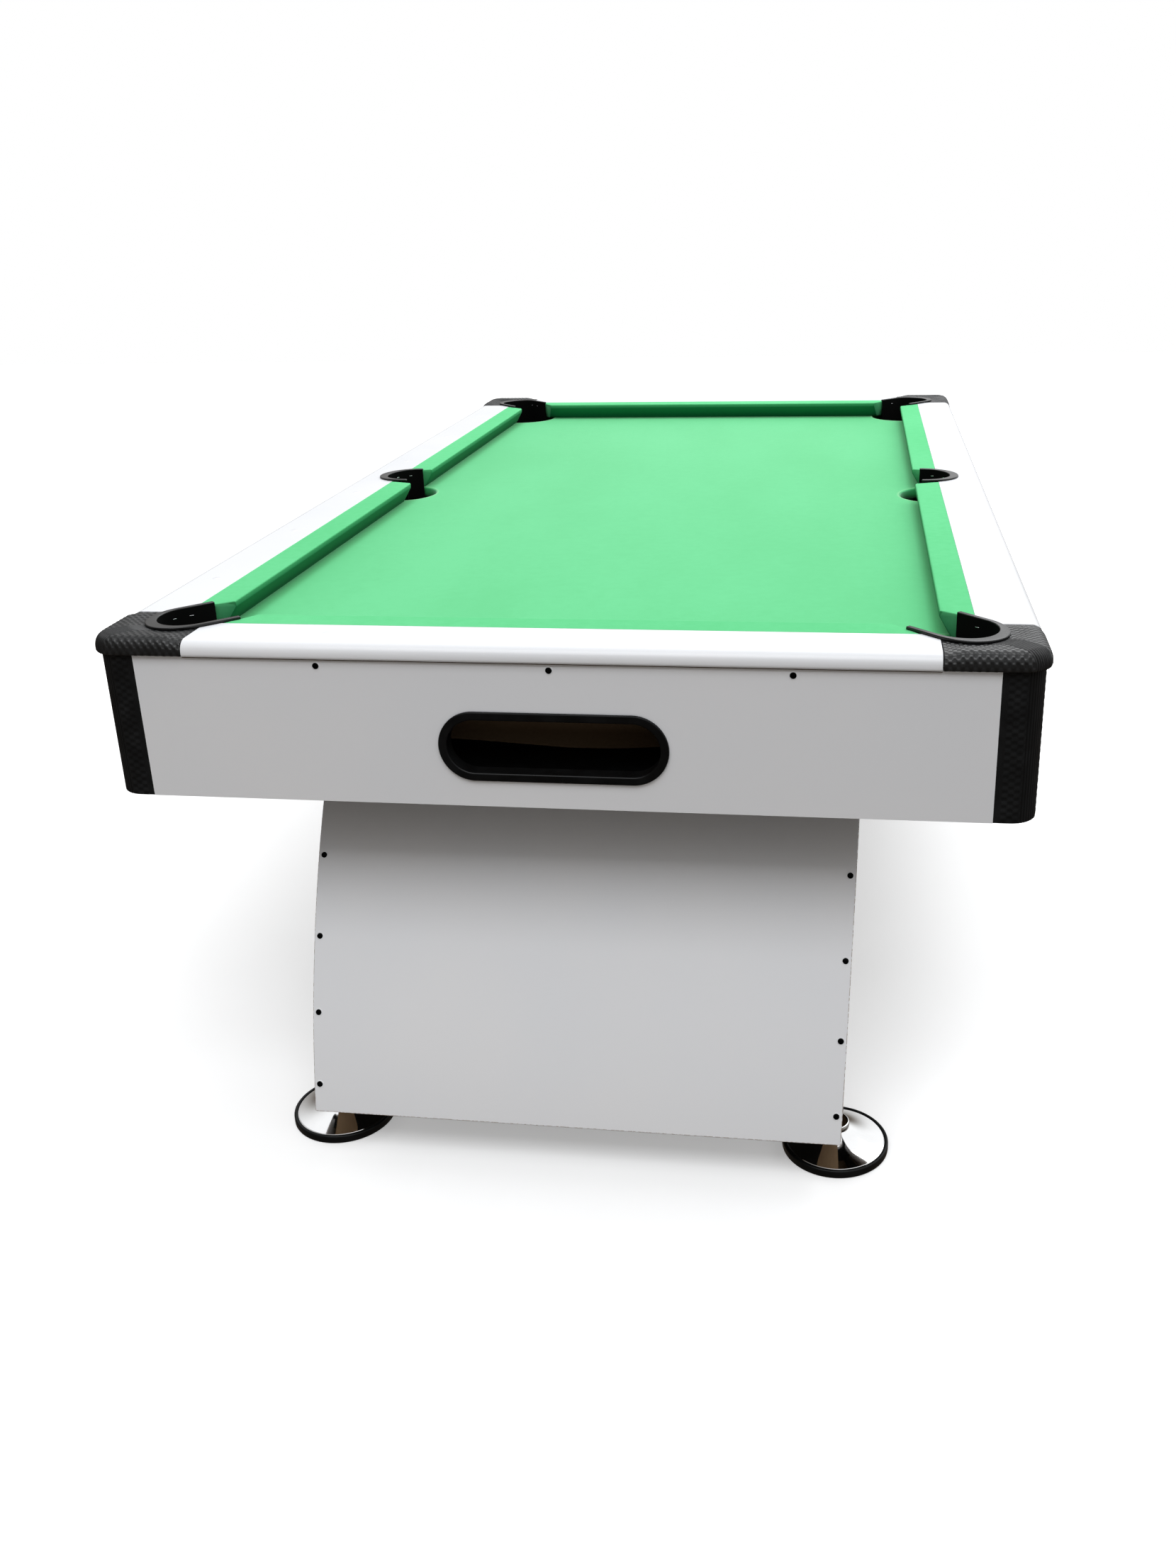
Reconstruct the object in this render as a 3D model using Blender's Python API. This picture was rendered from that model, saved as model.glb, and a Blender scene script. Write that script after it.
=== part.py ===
# A home pool table with ball return, on two curved pedestals with levelling feet.
# Metres, +Z up. The floor is z = 0, +Y is the long way, and the ball return faces -Y.

import math

import bmesh
import bpy

for old in list(bpy.data.objects):
    bpy.data.objects.remove(old, do_unlink=True)

# Overall sizes
PLAY_WIDTH = 0.975  # between the side cushions' noses
PLAY_LENGTH = 1.943  # between the end cushions' noses
TABLE_HEIGHT = 0.773  # floor to the top of the rails
GAP = 0.0003  # clearance where two pieces meet

# Rails and cushions
CUSHION_DEPTH = 0.0435  # nose to rail
CUSHION_EDGE = 0.003  # radius of the cushion's upper edge
CUSHION_NOSE = 0.010  # rail top to the lower edge of the nose
CUSHION_FOOT = 0.027  # width of the cushion where it stands on the cloth
BED_DROP = 0.036  # rail top to cloth
RAIL_WIDTH = 0.083
RAIL_THICK = 0.022
RAIL_ROUND = 0.016  # radius of the upper outer edge
RAIL_UNDER = 0.004  # radius of the lower outer edge
RAIL_OVERHANG = 0.006  # rail beyond the apron
CAP_REACH = 0.131  # length of a corner cap along each rail
CAP_ROUND = 0.042  # plan radius of a corner cap
CAP_PROUD = 0.001  # cap beyond the rail's edge

# Pockets
CORNER_BORE = 0.044  # half the clear width inside a corner liner
SIDE_BORE = 0.052
LINER_WALL = 0.0035
LINER_DEPTH = 0.055  # rail top to the liner's lower edge
FLANGE_WIDTH = 0.007
FLANGE_CROWN = 0.0095  # extra flange width at a liner's outermost point
FLANGE_HEIGHT = 0.004
FLANGE_ROUND = 0.0016
CORNER_SET = 0.0245  # corner pocket centre beyond the nose lines, each way
CORNER_ARM = 0.050  # straight part of a corner liner
CORNER_JAW = 0.0625  # cushion nose end to the nose lines' crossing
CORNER_FACING = math.radians(53)  # cushion end against the nose line
SIDE_SET = 0.015  # side pocket centre beyond the nose line
SIDE_ARM = 0.002
SIDE_JAW = 0.072  # cushion nose end to the middle of the table
SIDE_FACING = math.radians(70)
FACING_BACK_CUT = math.radians(10)  # cushion ends lean back under their top edge
HOLE_BACK = 0.010  # bed hole beyond a liner's outermost wall
CORNER_HOLE_BESIDE = 0.0305  # bed hole beyond a corner liner on either side
CORNER_HOLE_AHEAD = 0.050  # bed hole beyond the ends of a corner liner's arms
SIDE_HOLE_BESIDE = 0.0105
SIDE_HOLE_AHEAD = 0.039

# Bed
CLOTH_THICK = 0.001
BOARD_THICK = 0.018

# Cabinet
APRON_HEIGHT = 0.198
APRON_THICK = 0.015
POST_REACH = 0.055  # width of a corner post along each apron
POST_ROUND = 0.035  # plan radius of a corner post
POST_WALL = 0.004
POST_TONGUE = 0.025  # post's tongue behind each apron
BEAM_THICK = 0.036

# Ball return
RETURN_WIDTH = 0.278  # clear opening
RETURN_HEIGHT = 0.073
RETURN_DROP = 0.136  # rail top to the middle of the opening
BEZEL_RIM = 0.011
BEZEL_PROUD = 0.004
BEZEL_WALL = 0.003
BEZEL_ROUND = 0.0015
TRAY_DEPTH = 0.150
TRAY_CLEAR = 0.0234  # tray's ends to the lining
TRAY_WALL = 0.004
TRAY_DROP = 0.002  # tray floor below the opening
TRAY_FALL = 0.012  # rise of the floor from the middle to each end
TRAY_BACK = 0.038  # back wall above the floor, at the middle
TRAY_SAG = 0.022  # back wall's extra height at each end
GULLY_WIDTH = 0.072
GULLY_HEIGHT = 0.045
GULLY_WALL = 0.003
GULLY_FALL = 0.034  # over its whole length
GULLY_STEP = 0.004  # gully above the tray's floor
GULLY_LAP = 0.010  # gully beyond the tray's back wall

# Pedestals
LEG_HALF_WIDTH = 0.377  # at the base
LEG_FLARE = 0.018  # extra half width at the top
LEG_TOE = 0.0115  # lower front edge beyond the rail
LEG_LEAN = 0.270  # how far the lower front edge stands out from the upper one
LEG_BOW = 0.0333  # rise of the curve over its chord
LEG_DEPTH = 0.170  # outer panel's face to inner panel's face
LEG_PANEL = 0.006
LEG_CHEEK = 0.025
LEG_TOP_BOARD = 0.018
LEG_BASE_BOARD = 0.025

# Levelling feet
FOOT_HEIGHT = 0.0655  # floor to the pedestal
FOOT_RADIUS = 0.076
FOOT_INSET = 0.008  # foot's axis inside the pedestal's edge
PAD_HEIGHT = 0.012
PAD_FLOOR = 0.004
PAD_LIP = 0.0045
DISC_SINK = 0.001  # disc's edge below the pad's lip
HUB_RADIUS = 0.020
HUB_BASE = 0.034  # floor to where the cone meets the hub
HUB_TOP = 0.043
STEM_RADIUS = 0.006
STEM_BOSS = 0.0085  # radius of the stem's foot inside the hub
BOSS_HEIGHT = 0.014
STEM_CLEARANCE = 0.0005
SHOULDER_FLATS = 0.019  # across the flats of the hexagon
SHOULDER_HEIGHT = 0.008

# Levels and half sizes that follow from these
TOP = TABLE_HEIGHT
BED = TOP - BED_DROP
RAIL_BASE = TOP - RAIL_THICK
BOARD_TOP = BED - CLOTH_THICK - GAP
BOARD_BASE = BOARD_TOP - BOARD_THICK
APRON_BASE = RAIL_BASE - GAP - APRON_HEIGHT
NOSE_X = PLAY_WIDTH / 2
NOSE_Y = PLAY_LENGTH / 2
RAIL_X = NOSE_X + CUSHION_DEPTH + RAIL_WIDTH
RAIL_Y = NOSE_Y + CUSHION_DEPTH + RAIL_WIDTH
APRON_X = RAIL_X - RAIL_OVERHANG
APRON_Y = RAIL_Y - RAIL_OVERHANG
LINING = APRON_THICK + POST_WALL + 2 * GAP  # apron face to what lies inside the tongues
INNER_X = APRON_X - LINING
INNER_Y = APRON_Y - LINING
TRAY_REACH = INNER_X - TRAY_CLEAR

ARC_STEPS = 14
EDGE_STEPS = 4
ROUND_STEPS = 6
TURN_STEPS = 24
LEG_STEPS = 10
CONE_STEPS = 4
SIDES = {"front": 0.0, "right": math.pi / 2, "rear": math.pi, "left": -math.pi / 2}
CORNERS = {
    "rear_right": (1, 1, 0.0),
    "rear_left": (-1, 1, math.pi / 2),
    "front_left": (-1, -1, math.pi),
    "front_right": (1, -1, -math.pi / 2),
}

# Base colour, roughness and metallic value of each finish
FINISHES = {
    "white_laminate": ((0.82, 0.83, 0.85), 0.35, 0.0),
    "raw_board": ((0.42, 0.28, 0.16), 0.85, 0.0),
    "black_moulding": ((0.018, 0.019, 0.021), 0.45, 0.0),
    "satin_black": ((0.035, 0.037, 0.040), 0.38, 0.0),
    "green_cloth": ((0.10, 0.66, 0.24), 0.95, 0.0),
    "chrome": ((0.83, 0.83, 0.84), 0.08, 1.0),
    "zinc": ((0.55, 0.56, 0.58), 0.30, 1.0),
    "black_rubber": ((0.012, 0.012, 0.012), 0.75, 0.0),
}


# Building blocks


def material(finish):
    found = bpy.data.materials.get(finish)
    if found:
        return found
    colour, roughness, metallic = FINISHES[finish]
    made = bpy.data.materials.new(finish)
    made.use_nodes = True
    shader = made.node_tree.nodes["Principled BSDF"]
    shader.inputs["Base Color"].default_value = (*colour, 1.0)
    shader.inputs["Roughness"].default_value = roughness
    shader.inputs["Metallic"].default_value = metallic
    return made


def place(name, mesh, finish, where=(0, 0, 0), turn=0.0, parent=None):
    made = bpy.data.objects.new(name, mesh)
    bpy.context.scene.collection.objects.link(made)
    made.location = where
    made.rotation_euler.z = turn
    made.parent = parent
    if finish:
        if not mesh.materials:
            mesh.materials.append(material(finish))
    else:
        made.hide_render = True
        made.display_type = "WIRE"
    return made


def skin(name, rings, looped=False):
    """A closed mesh through rings of points, capped at both ends unless the rings run in a loop."""
    shape = bmesh.new()
    loops = [[shape.verts.new(point) for point in ring] for ring in rings]
    pairs = list(zip(loops, loops[1:]))
    if looped:
        pairs.append((loops[-1], loops[0]))
    else:
        shape.faces.new(loops[0])
        shape.faces.new(loops[-1])
    for near, far in pairs:
        for here in range(len(near)):
            beside = (here + 1) % len(near)
            shape.faces.new((near[here], near[beside], far[beside], far[here]))
    bmesh.ops.remove_doubles(shape, verts=shape.verts, dist=1e-6)
    bmesh.ops.recalc_face_normals(shape, faces=shape.faces)
    mesh = bpy.data.meshes.new(name)
    shape.to_mesh(mesh)
    shape.free()
    mesh.shade_smooth()
    mesh.set_sharp_from_angle(angle=math.radians(32))
    return mesh


def prism(name, outline, low, high):
    return skin(name, [[(x, y, z) for x, y in outline] for z in (low, high)])


def block(name, low, high):
    outline = [(low[0], low[1]), (high[0], low[1]), (high[0], high[1]), (low[0], high[1])]
    return prism(name, outline, low[2], high[2])


def turned(name, profile, steps=TURN_STEPS):
    """A turned piece. The profile gives (radius, height) or (radius, height, "hex")."""
    rings = []
    for radius, height, *form in profile:
        ring = []
        for step in range(steps):
            angle = 2 * math.pi * step / steps
            reach = radius
            if form:
                reach = radius / math.cos(angle % (math.pi / 3) - math.pi / 6)
            ring.append((reach * math.cos(angle), reach * math.sin(angle), height))
        rings.append(ring)
    return skin(name, rings)


def arc(middle, radius, start, end, steps):
    points = []
    for step in range(steps + 1):
        angle = start + (end - start) * step / steps
        points.append((middle[0] + radius * math.cos(angle), middle[1] + radius * math.sin(angle)))
    return points


def cut(target, *cutters):
    for cutter in cutters:
        change = target.modifiers.new(cutter.name, "BOOLEAN")
        change.operation = "DIFFERENCE"
        change.solver = "EXACT"
        change.object = cutter


# Pockets: the liners, and the cutters that make room for them


def horseshoe(half, arm):
    """Points and outward directions along a U that is open towards -Y."""
    walk = [((-half, -arm), (-1.0, 0.0))]
    for step in range(ARC_STEPS + 1):
        angle = math.pi * (1 - step / ARC_STEPS)
        way = (math.cos(angle), math.sin(angle))
        walk.append(((half * way[0], half * way[1]), way))
    walk.append(((half, -arm), (1.0, 0.0)))
    return walk


def liner_mesh(name, bore, arm):
    low = TOP - LINER_DEPTH
    seat = TOP + GAP
    high = seat + FLANGE_HEIGHT
    rings = []
    for (x, y), (way_x, way_y) in horseshoe(bore, arm):
        flange = FLANGE_WIDTH + FLANGE_CROWN * max(way_y, 0.0) ** 2
        section = [
            (0.0, low),
            (0.0, high - FLANGE_ROUND),
            (FLANGE_ROUND, high),
            (flange - FLANGE_ROUND, high),
            (flange, high - FLANGE_ROUND),
            (flange, seat),
            (LINER_WALL, seat),
            (LINER_WALL, low),
        ]
        rings.append([(x + way_x * out, y + way_y * out, z) for out, z in section])
    return skin(name, rings)


def liner_room(name, bore, arm):
    outline = [point for point, _ in horseshoe(bore + LINER_WALL + GAP, arm + GAP)]
    return prism(name, outline, BED, TOP + FLANGE_HEIGHT)


def bed_hole(name, bore, arm, beside, ahead):
    wide = bore + LINER_WALL + beside
    back = bore + LINER_WALL + HOLE_BACK
    front = -arm - ahead
    outline = []
    for x, y in arc((0, 0), 1.0, 0, 2 * math.pi, 2 * ARC_STEPS)[:-1]:
        outline.append((wide * x, (back + front) / 2 + (back - front) / 2 * y))
    return prism(name, outline, BOARD_BASE - BOARD_THICK, TOP)


corner_liner = liner_mesh("corner_liner", CORNER_BORE, CORNER_ARM)
corner_room = liner_room("corner_liner_room", CORNER_BORE, CORNER_ARM)
corner_hole = bed_hole("corner_hole", CORNER_BORE, CORNER_ARM, CORNER_HOLE_BESIDE, CORNER_HOLE_AHEAD)
side_liner = liner_mesh("side_liner", SIDE_BORE, SIDE_ARM)
side_room = liner_room("side_liner_room", SIDE_BORE, SIDE_ARM)
side_hole = bed_hole("side_hole", SIDE_BORE, SIDE_ARM, SIDE_HOLE_BESIDE, SIDE_HOLE_AHEAD)

pockets = {}
for corner, (way_x, way_y, turn) in CORNERS.items():
    where = (way_x * (NOSE_X + CORNER_SET), way_y * (NOSE_Y + CORNER_SET), 0)
    pockets[corner] = (where, turn - math.pi / 4, corner_liner, corner_room, corner_hole)
for side, way_x in (("side_right", 1), ("side_left", -1)):
    where = (way_x * (NOSE_X + SIDE_SET), 0, 0)
    pockets[side] = (where, -way_x * math.pi / 2, side_liner, side_room, side_hole)

rooms = {}
holes = []
for pocket, (where, turn, liner, room, hole) in pockets.items():
    place("pocket_liner_" + pocket, liner, "satin_black", where, turn)
    rooms[pocket] = place("room_" + pocket, room, None, where, turn)
    holes.append(place("hole_" + pocket, hole, None, where, turn))


# Bed: a board with six holes, and the cloth over it

bed_round = POST_ROUND - LINING
bed_outline = []
for way_x, way_y, turn in CORNERS.values():
    middle = (way_x * (INNER_X - bed_round), way_y * (INNER_Y - bed_round))
    bed_outline += arc(middle, bed_round, turn, turn + math.pi / 2, EDGE_STEPS)

board_mesh = prism("playfield_board", bed_outline, BOARD_BASE, BOARD_TOP)
cut(place("playfield_board", board_mesh, "raw_board"), *holes)
cloth_mesh = prism("bed_cloth", bed_outline, BED - CLOTH_THICK, BED)
cut(place("bed_cloth", cloth_mesh, "green_cloth"), *holes)


# Rails: a rounded overhang outside, and a block that stands on the bed inside the apron


def rounded_edge(edge):
    """The rail's outer edge from its top to its underside, as (distance from the cushion, height)."""
    under = min(RAIL_UNDER, RAIL_THICK - RAIL_ROUND - GAP)
    upper = arc((edge - RAIL_ROUND, TOP - RAIL_ROUND), RAIL_ROUND, math.pi / 2, 0, ROUND_STEPS)
    lower = arc((edge - under, RAIL_BASE + under), under, 0, -math.pi / 2, EDGE_STEPS // 2)
    return upper + lower


def side_bar(name, section, base, start, end):
    """A section of (distance out, height) points drawn along one side of the table."""
    rings = [[(along, -base - out, z) for out, z in section] for along in (start, end)]
    return skin(name, rings)


rail_lip = RAIL_WIDTH - RAIL_OVERHANG - APRON_THICK - GAP
rail_section = [(0.0, BED + GAP), (0.0, TOP), *rounded_edge(RAIL_WIDTH)]
rail_section += [(rail_lip, RAIL_BASE), (rail_lip, BED + GAP)]
end_rail_half = RAIL_X - CAP_REACH - GAP
side_rail_half = RAIL_Y - CAP_REACH - GAP
for side, turn in SIDES.items():
    crosswise = side in ("front", "rear")
    half = end_rail_half if crosswise else side_rail_half
    base = (NOSE_Y if crosswise else NOSE_X) + CUSHION_DEPTH
    mesh = side_bar("rail_" + side, rail_section, base, -half, half)
    rail = place("rail_" + side, mesh, "white_laminate", turn=turn)
    cut(rail, *[room for pocket, room in rooms.items() if side in pocket])


# Cushions: a nose over an undercut face, with both ends cut towards their pockets

edge_middle = (CUSHION_DEPTH - CUSHION_EDGE, TOP - CUSHION_EDGE)
cushion_section = [(0.0, BED + GAP), (0.0, TOP)]
cushion_section += arc(edge_middle, CUSHION_EDGE, math.pi / 2, 0, EDGE_STEPS)
cushion_section += [(CUSHION_DEPTH, TOP - CUSHION_NOSE), (CUSHION_FOOT, BED + GAP)]


def cushion(name, base, nose_ends, facings, turn):
    rings = []
    for nose_end, facing, way in zip(nose_ends, facings, (-1, 1)):
        ring = []
        for depth, z in cushion_section:
            run = (CUSHION_DEPTH - depth) / math.tan(facing) - (TOP - z) * math.tan(FACING_BACK_CUT)
            ring.append((nose_end + way * run, -(base + CUSHION_DEPTH - GAP - depth), z))
        rings.append(ring)
    return place("cushion_" + name, skin("cushion_" + name, rings), "green_cloth", turn=turn)


def end_cushion(side):
    reach = NOSE_X - CORNER_JAW
    made = cushion(side, NOSE_Y, (-reach, reach), (CORNER_FACING, CORNER_FACING), SIDES[side])
    cut(made, rooms[side + "_left"], rooms[side + "_right"])


def side_cushion(side, end):
    reach = NOSE_Y - CORNER_JAW
    ahead = (side == "right") == (end == "rear")
    ends = (SIDE_JAW, reach) if ahead else (-reach, -SIDE_JAW)
    facings = (SIDE_FACING, CORNER_FACING) if ahead else (CORNER_FACING, SIDE_FACING)
    made = cushion(side + "_" + end, NOSE_X, ends, facings, SIDES[side])
    cut(made, rooms[end + "_" + side], rooms["side_" + side])


for end in ("front", "rear"):
    end_cushion(end)
    side_cushion("left", end)
    side_cushion("right", end)


# Corner caps: the rail's edge carried round the corner, open at the pocket


def cap_outline(inset):
    edge = CAP_PROUD - inset
    middle = CAP_PROUD - CAP_ROUND
    outline = [(-RAIL_WIDTH, -CAP_REACH), (edge, -CAP_REACH)]
    outline += arc((middle, middle), CAP_ROUND - inset, 0, math.pi / 2, ARC_STEPS // 2)
    outline += [(-CAP_REACH, edge), (-CAP_REACH, -RAIL_WIDTH), (-RAIL_WIDTH, -RAIL_WIDTH)]
    return outline


cap_rings = []
for out, z in rounded_edge(RAIL_WIDTH):
    cap_rings.append([(x, y, z) for x, y in cap_outline(RAIL_WIDTH - out)])
cap_mesh = skin("corner_cap", cap_rings)
for corner, (way_x, way_y, turn) in CORNERS.items():
    where = (way_x * RAIL_X, way_y * RAIL_Y, 0)
    cap = place("corner_cap_" + corner, cap_mesh, "black_moulding", where, turn)
    cut(cap, rooms[corner])


# Corner posts: a rounded wall with a web and a tongue behind each apron

middle = (-POST_ROUND, -POST_ROUND)
behind = -APRON_THICK - GAP
deep = behind - POST_WALL
far = -POST_REACH - POST_TONGUE
near = -POST_REACH + POST_WALL
post_outline = [(0.0, -POST_REACH), *arc(middle, POST_ROUND, 0, math.pi / 2, ARC_STEPS // 2)]
post_outline += [(-POST_REACH, 0.0), (-POST_REACH, behind), (far, behind), (far, deep), (near, deep)]
post_outline.append((near, -POST_WALL))
post_outline += arc(middle, POST_ROUND - POST_WALL, math.pi / 2, 0, ARC_STEPS // 2)
post_outline.append((-POST_WALL, near))
post_outline += [(deep, near), (deep, far), (behind, far), (behind, -POST_REACH)]
post_mesh = prism("corner_post", post_outline, APRON_BASE, RAIL_BASE - GAP)
for corner, (way_x, way_y, turn) in CORNERS.items():
    place("corner_post_" + corner, post_mesh, "black_moulding", (way_x * APRON_X, way_y * APRON_Y, 0), turn)


# Aprons, the front one with the ball-return window

apron_section = [(0.0, APRON_BASE), (0.0, RAIL_BASE - GAP)]
apron_section += [(-APRON_THICK, RAIL_BASE - GAP), (-APRON_THICK, APRON_BASE)]
aprons = {}
for side, turn in SIDES.items():
    across, along = (APRON_Y, APRON_X) if side in ("front", "rear") else (APRON_X, APRON_Y)
    half = along - POST_REACH - GAP
    mesh = side_bar("apron_" + side, apron_section, across, -half, half)
    aprons[side] = place("apron_" + side, mesh, "white_laminate", turn=turn)

window_middle = TOP - RETURN_DROP
window_round = RETURN_HEIGHT / 2
window_straight = RETURN_WIDTH / 2 - window_round


def oblong(grow):
    """The window's outline, grown evenly, as (across, height) points."""
    right = (window_straight, window_middle)
    left = (-window_straight, window_middle)
    outline = arc(right, window_round + grow, -math.pi / 2, math.pi / 2, ARC_STEPS)
    return outline + arc(left, window_round + grow, math.pi / 2, 1.5 * math.pi, ARC_STEPS)


window_rings = []
for depth in (-APRON_THICK, 2 * APRON_THICK):
    window_rings.append([(x, -APRON_Y + depth, z) for x, z in oblong(BEZEL_WALL + GAP)])
cut(aprons["front"], place("window_cutter", skin("window_cutter", window_rings), None))

bezel_section = [
    (0.0, APRON_THICK + POST_WALL),
    (0.0, BEZEL_ROUND - BEZEL_PROUD),
    (BEZEL_ROUND, -BEZEL_PROUD),
    (BEZEL_RIM - BEZEL_ROUND, -BEZEL_PROUD),
    (BEZEL_RIM, BEZEL_ROUND - BEZEL_PROUD),
    (BEZEL_RIM, -GAP),
    (BEZEL_WALL, -GAP),
    (BEZEL_WALL, APRON_THICK + POST_WALL),
]
bezel_rings = [[(x, -APRON_Y + depth, z) for x, z in oblong(grow)] for grow, depth in bezel_section]
place("ball_return_bezel", skin("ball_return_bezel", bezel_rings, looped=True), "black_moulding")


# Ball tray: a trough that falls to its middle, with a back wall that sags

tray_floor = window_middle - window_round - TRAY_DROP
tray_front = -INNER_Y
tray_back = tray_front + TRAY_DEPTH


def tray_floor_at(x):
    return tray_floor + TRAY_FALL * abs(x) / TRAY_REACH


tray_rings = []
room_rings = []
for step in range(-EDGE_STEPS, EDGE_STEPS + 1):
    x = TRAY_REACH * step / EDGE_STEPS
    low = tray_floor_at(x) - TRAY_WALL
    high = tray_floor + TRAY_BACK + TRAY_SAG * (step / EDGE_STEPS) ** 2
    back = tray_back + TRAY_WALL
    tray_rings.append([(x, tray_front, low), (x, back, low), (x, back, high), (x, tray_front, high)])
for x in (-TRAY_REACH + TRAY_WALL, 0.0, TRAY_REACH - TRAY_WALL):
    low = tray_floor_at(x)
    ahead = tray_front - TRAY_WALL
    room_rings.append([(x, ahead, low), (x, tray_back, low), (x, tray_back, TOP), (x, ahead, TOP)])
tray = place("ball_tray", skin("ball_tray", tray_rings), "satin_black")
cut(tray, place("tray_room", skin("tray_room", room_rings), None))


# Gullies: sloping channels under the pockets, from the rear end to the tray

gully_middle = NOSE_X + (CORNER_SET + SIDE_SET) / 2
gully_half = GULLY_WIDTH / 2
gully_low = tray_floor_at(gully_middle + gully_half) + GULLY_STEP
gully_ends = ((tray_back - GULLY_LAP, gully_low), (INNER_Y, gully_low + GULLY_FALL))
gully_inner = gully_half - GULLY_WALL
gully_section = [
    (-gully_half, 0.0),
    (gully_half, 0.0),
    (gully_half, GULLY_HEIGHT),
    (gully_inner, GULLY_HEIGHT),
    (gully_inner, GULLY_WALL),
    (-gully_inner, GULLY_WALL),
    (-gully_inner, GULLY_HEIGHT),
    (-gully_half, GULLY_HEIGHT),
]
room_half = gully_half + GAP
gully_rings = [[(x, y, low + z) for x, z in gully_section] for y, low in gully_ends]
gully_room_rings = []
for y, low in gully_ends:
    floor = low - GAP
    outline = [(-room_half, floor), (room_half, floor), (room_half, TOP), (-room_half, TOP)]
    gully_room_rings.append([(x, y, z) for x, z in outline])
gully_mesh = skin("gully", gully_rings)
gully_room_mesh = skin("gully_room", gully_room_rings)
gully_rooms = []
for side, way_x in (("left", -1), ("right", 1)):
    where = (way_x * gully_middle, 0, 0)
    place("gully_" + side, gully_mesh, "satin_black", where)
    gully_rooms.append(place("gully_room_" + side, gully_room_mesh, None, where))
cut(tray, *gully_rooms)


# Pedestals: bent panels over arched cheeks, with a board at the top and at the base

leg_top = APRON_BASE
leg_base = FOOT_HEIGHT
toe = RAIL_Y + LEG_TOE
chord = math.hypot(LEG_LEAN, leg_top - leg_base)
leg_radius = (chord**2 / 4 + LEG_BOW**2) / (2 * LEG_BOW)
to_chord = leg_radius - LEG_BOW
leg_middle_out = toe - LEG_LEAN / 2 - to_chord * (leg_top - leg_base) / chord
leg_middle_z = (leg_top + leg_base) / 2 - to_chord * LEG_LEAN / chord
inner_face = leg_radius - LEG_DEPTH


def leg_out(radius, z):
    """Distance from the table's middle, along Y, of a leg's arc at one height."""
    return leg_middle_out + math.sqrt(radius**2 - (z - leg_middle_z) ** 2)


base_top = leg_base + LEG_BASE_BOARD
top_board_low = leg_top - LEG_TOP_BOARD
leg_levels = {base_top, top_board_low}
for step in range(LEG_STEPS + 1):
    leg_levels.add(leg_base + (leg_top - leg_base) * step / LEG_STEPS)


def leg_slab(name, span, radii, low, high, finish, turn):
    """A piece of a leg between two x values at the base, two of its concentric arcs and two heights."""
    rings = []
    for z in [low, *[z for z in sorted(leg_levels) if low + GAP < z < high - GAP], high]:
        inner, outer = [leg_out(radius, z) for radius in radii]
        flare = LEG_FLARE * (z - leg_base) / (leg_top - leg_base)
        left, right = [x + math.copysign(flare, x) for x in span]
        rings.append([(left, -outer, z), (right, -outer, z), (right, -inner, z), (left, -inner, z)])
    return place(name, skin(name, rings), finish, turn=turn)


foot_x = LEG_HALF_WIDTH - FOOT_INSET
foot_y = (leg_out(leg_radius, leg_base) + leg_out(inner_face, leg_base)) / 2
stem_hole_mesh = turned("stem_hole", [(STEM_RADIUS + STEM_CLEARANCE, z) for z in (0, leg_top)])
inside = (inner_face + LEG_PANEL + GAP, leg_radius - LEG_PANEL - GAP)
cheek_in = LEG_HALF_WIDTH - LEG_CHEEK
full = (-LEG_HALF_WIDTH, LEG_HALF_WIDTH)
between = (-cheek_in + GAP, cheek_in - GAP)
outer_skin = (leg_radius - LEG_PANEL, leg_radius)
inner_skin = (inner_face, inner_face + LEG_PANEL)
for end, turn in (("front", 0.0), ("rear", math.pi)):
    leg = "leg_" + end
    leg_slab(leg + "_outer_panel", full, outer_skin, leg_base, leg_top, "white_laminate", turn)
    leg_slab(leg + "_inner_panel", full, inner_skin, leg_base, leg_top, "white_laminate", turn)
    for way in (-1, 1):
        side = "left" if way == (-1 if end == "front" else 1) else "right"
        span = sorted((way * cheek_in, way * LEG_HALF_WIDTH))
        leg_slab(leg + "_cheek_" + side, span, inside, base_top + GAP, leg_top, "white_laminate", turn)
    leg_slab(leg + "_top_board", between, inside, top_board_low, leg_top, "raw_board", turn)
    base = leg_slab(leg + "_base_board", full, inside, leg_base, base_top, "raw_board", turn)
    for way in (-1, 1):
        where = (way * foot_x, foot_y if end == "rear" else -foot_y, 0)
        cut(base, place("stem_hole_%s_%d" % (end, way), stem_hole_mesh, None, where))

beam_y = (leg_out(leg_radius, leg_top) + leg_out(inner_face, leg_top)) / 2
beam_x = APRON_X - APRON_THICK - GAP
for end, way in (("front", -1), ("rear", 1)):
    low = (-beam_x, way * beam_y - BEAM_THICK / 2, leg_top + GAP)
    high = (beam_x, way * beam_y + BEAM_THICK / 2, BOARD_BASE - GAP)
    cut(place("cross_beam_" + end, block("cross_beam_" + end, low, high), "raw_board"), *gully_rooms)


# Levelling feet: a rubber pad, a chromed disc with its hub, and a stem that screws into the base board

pad_inner = FOOT_RADIUS - PAD_LIP
pad_edge = PAD_LIP / 3
pad_mesh = turned(
    "foot_pad",
    [
        (0.0, 0.0),
        (FOOT_RADIUS - pad_edge, 0.0),
        (FOOT_RADIUS, pad_edge),
        (FOOT_RADIUS, PAD_HEIGHT - pad_edge),
        (FOOT_RADIUS - pad_edge, PAD_HEIGHT),
        (pad_inner, PAD_HEIGHT),
        (pad_inner, PAD_FLOOR),
        (0.0, PAD_FLOOR),
    ],
)

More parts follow.
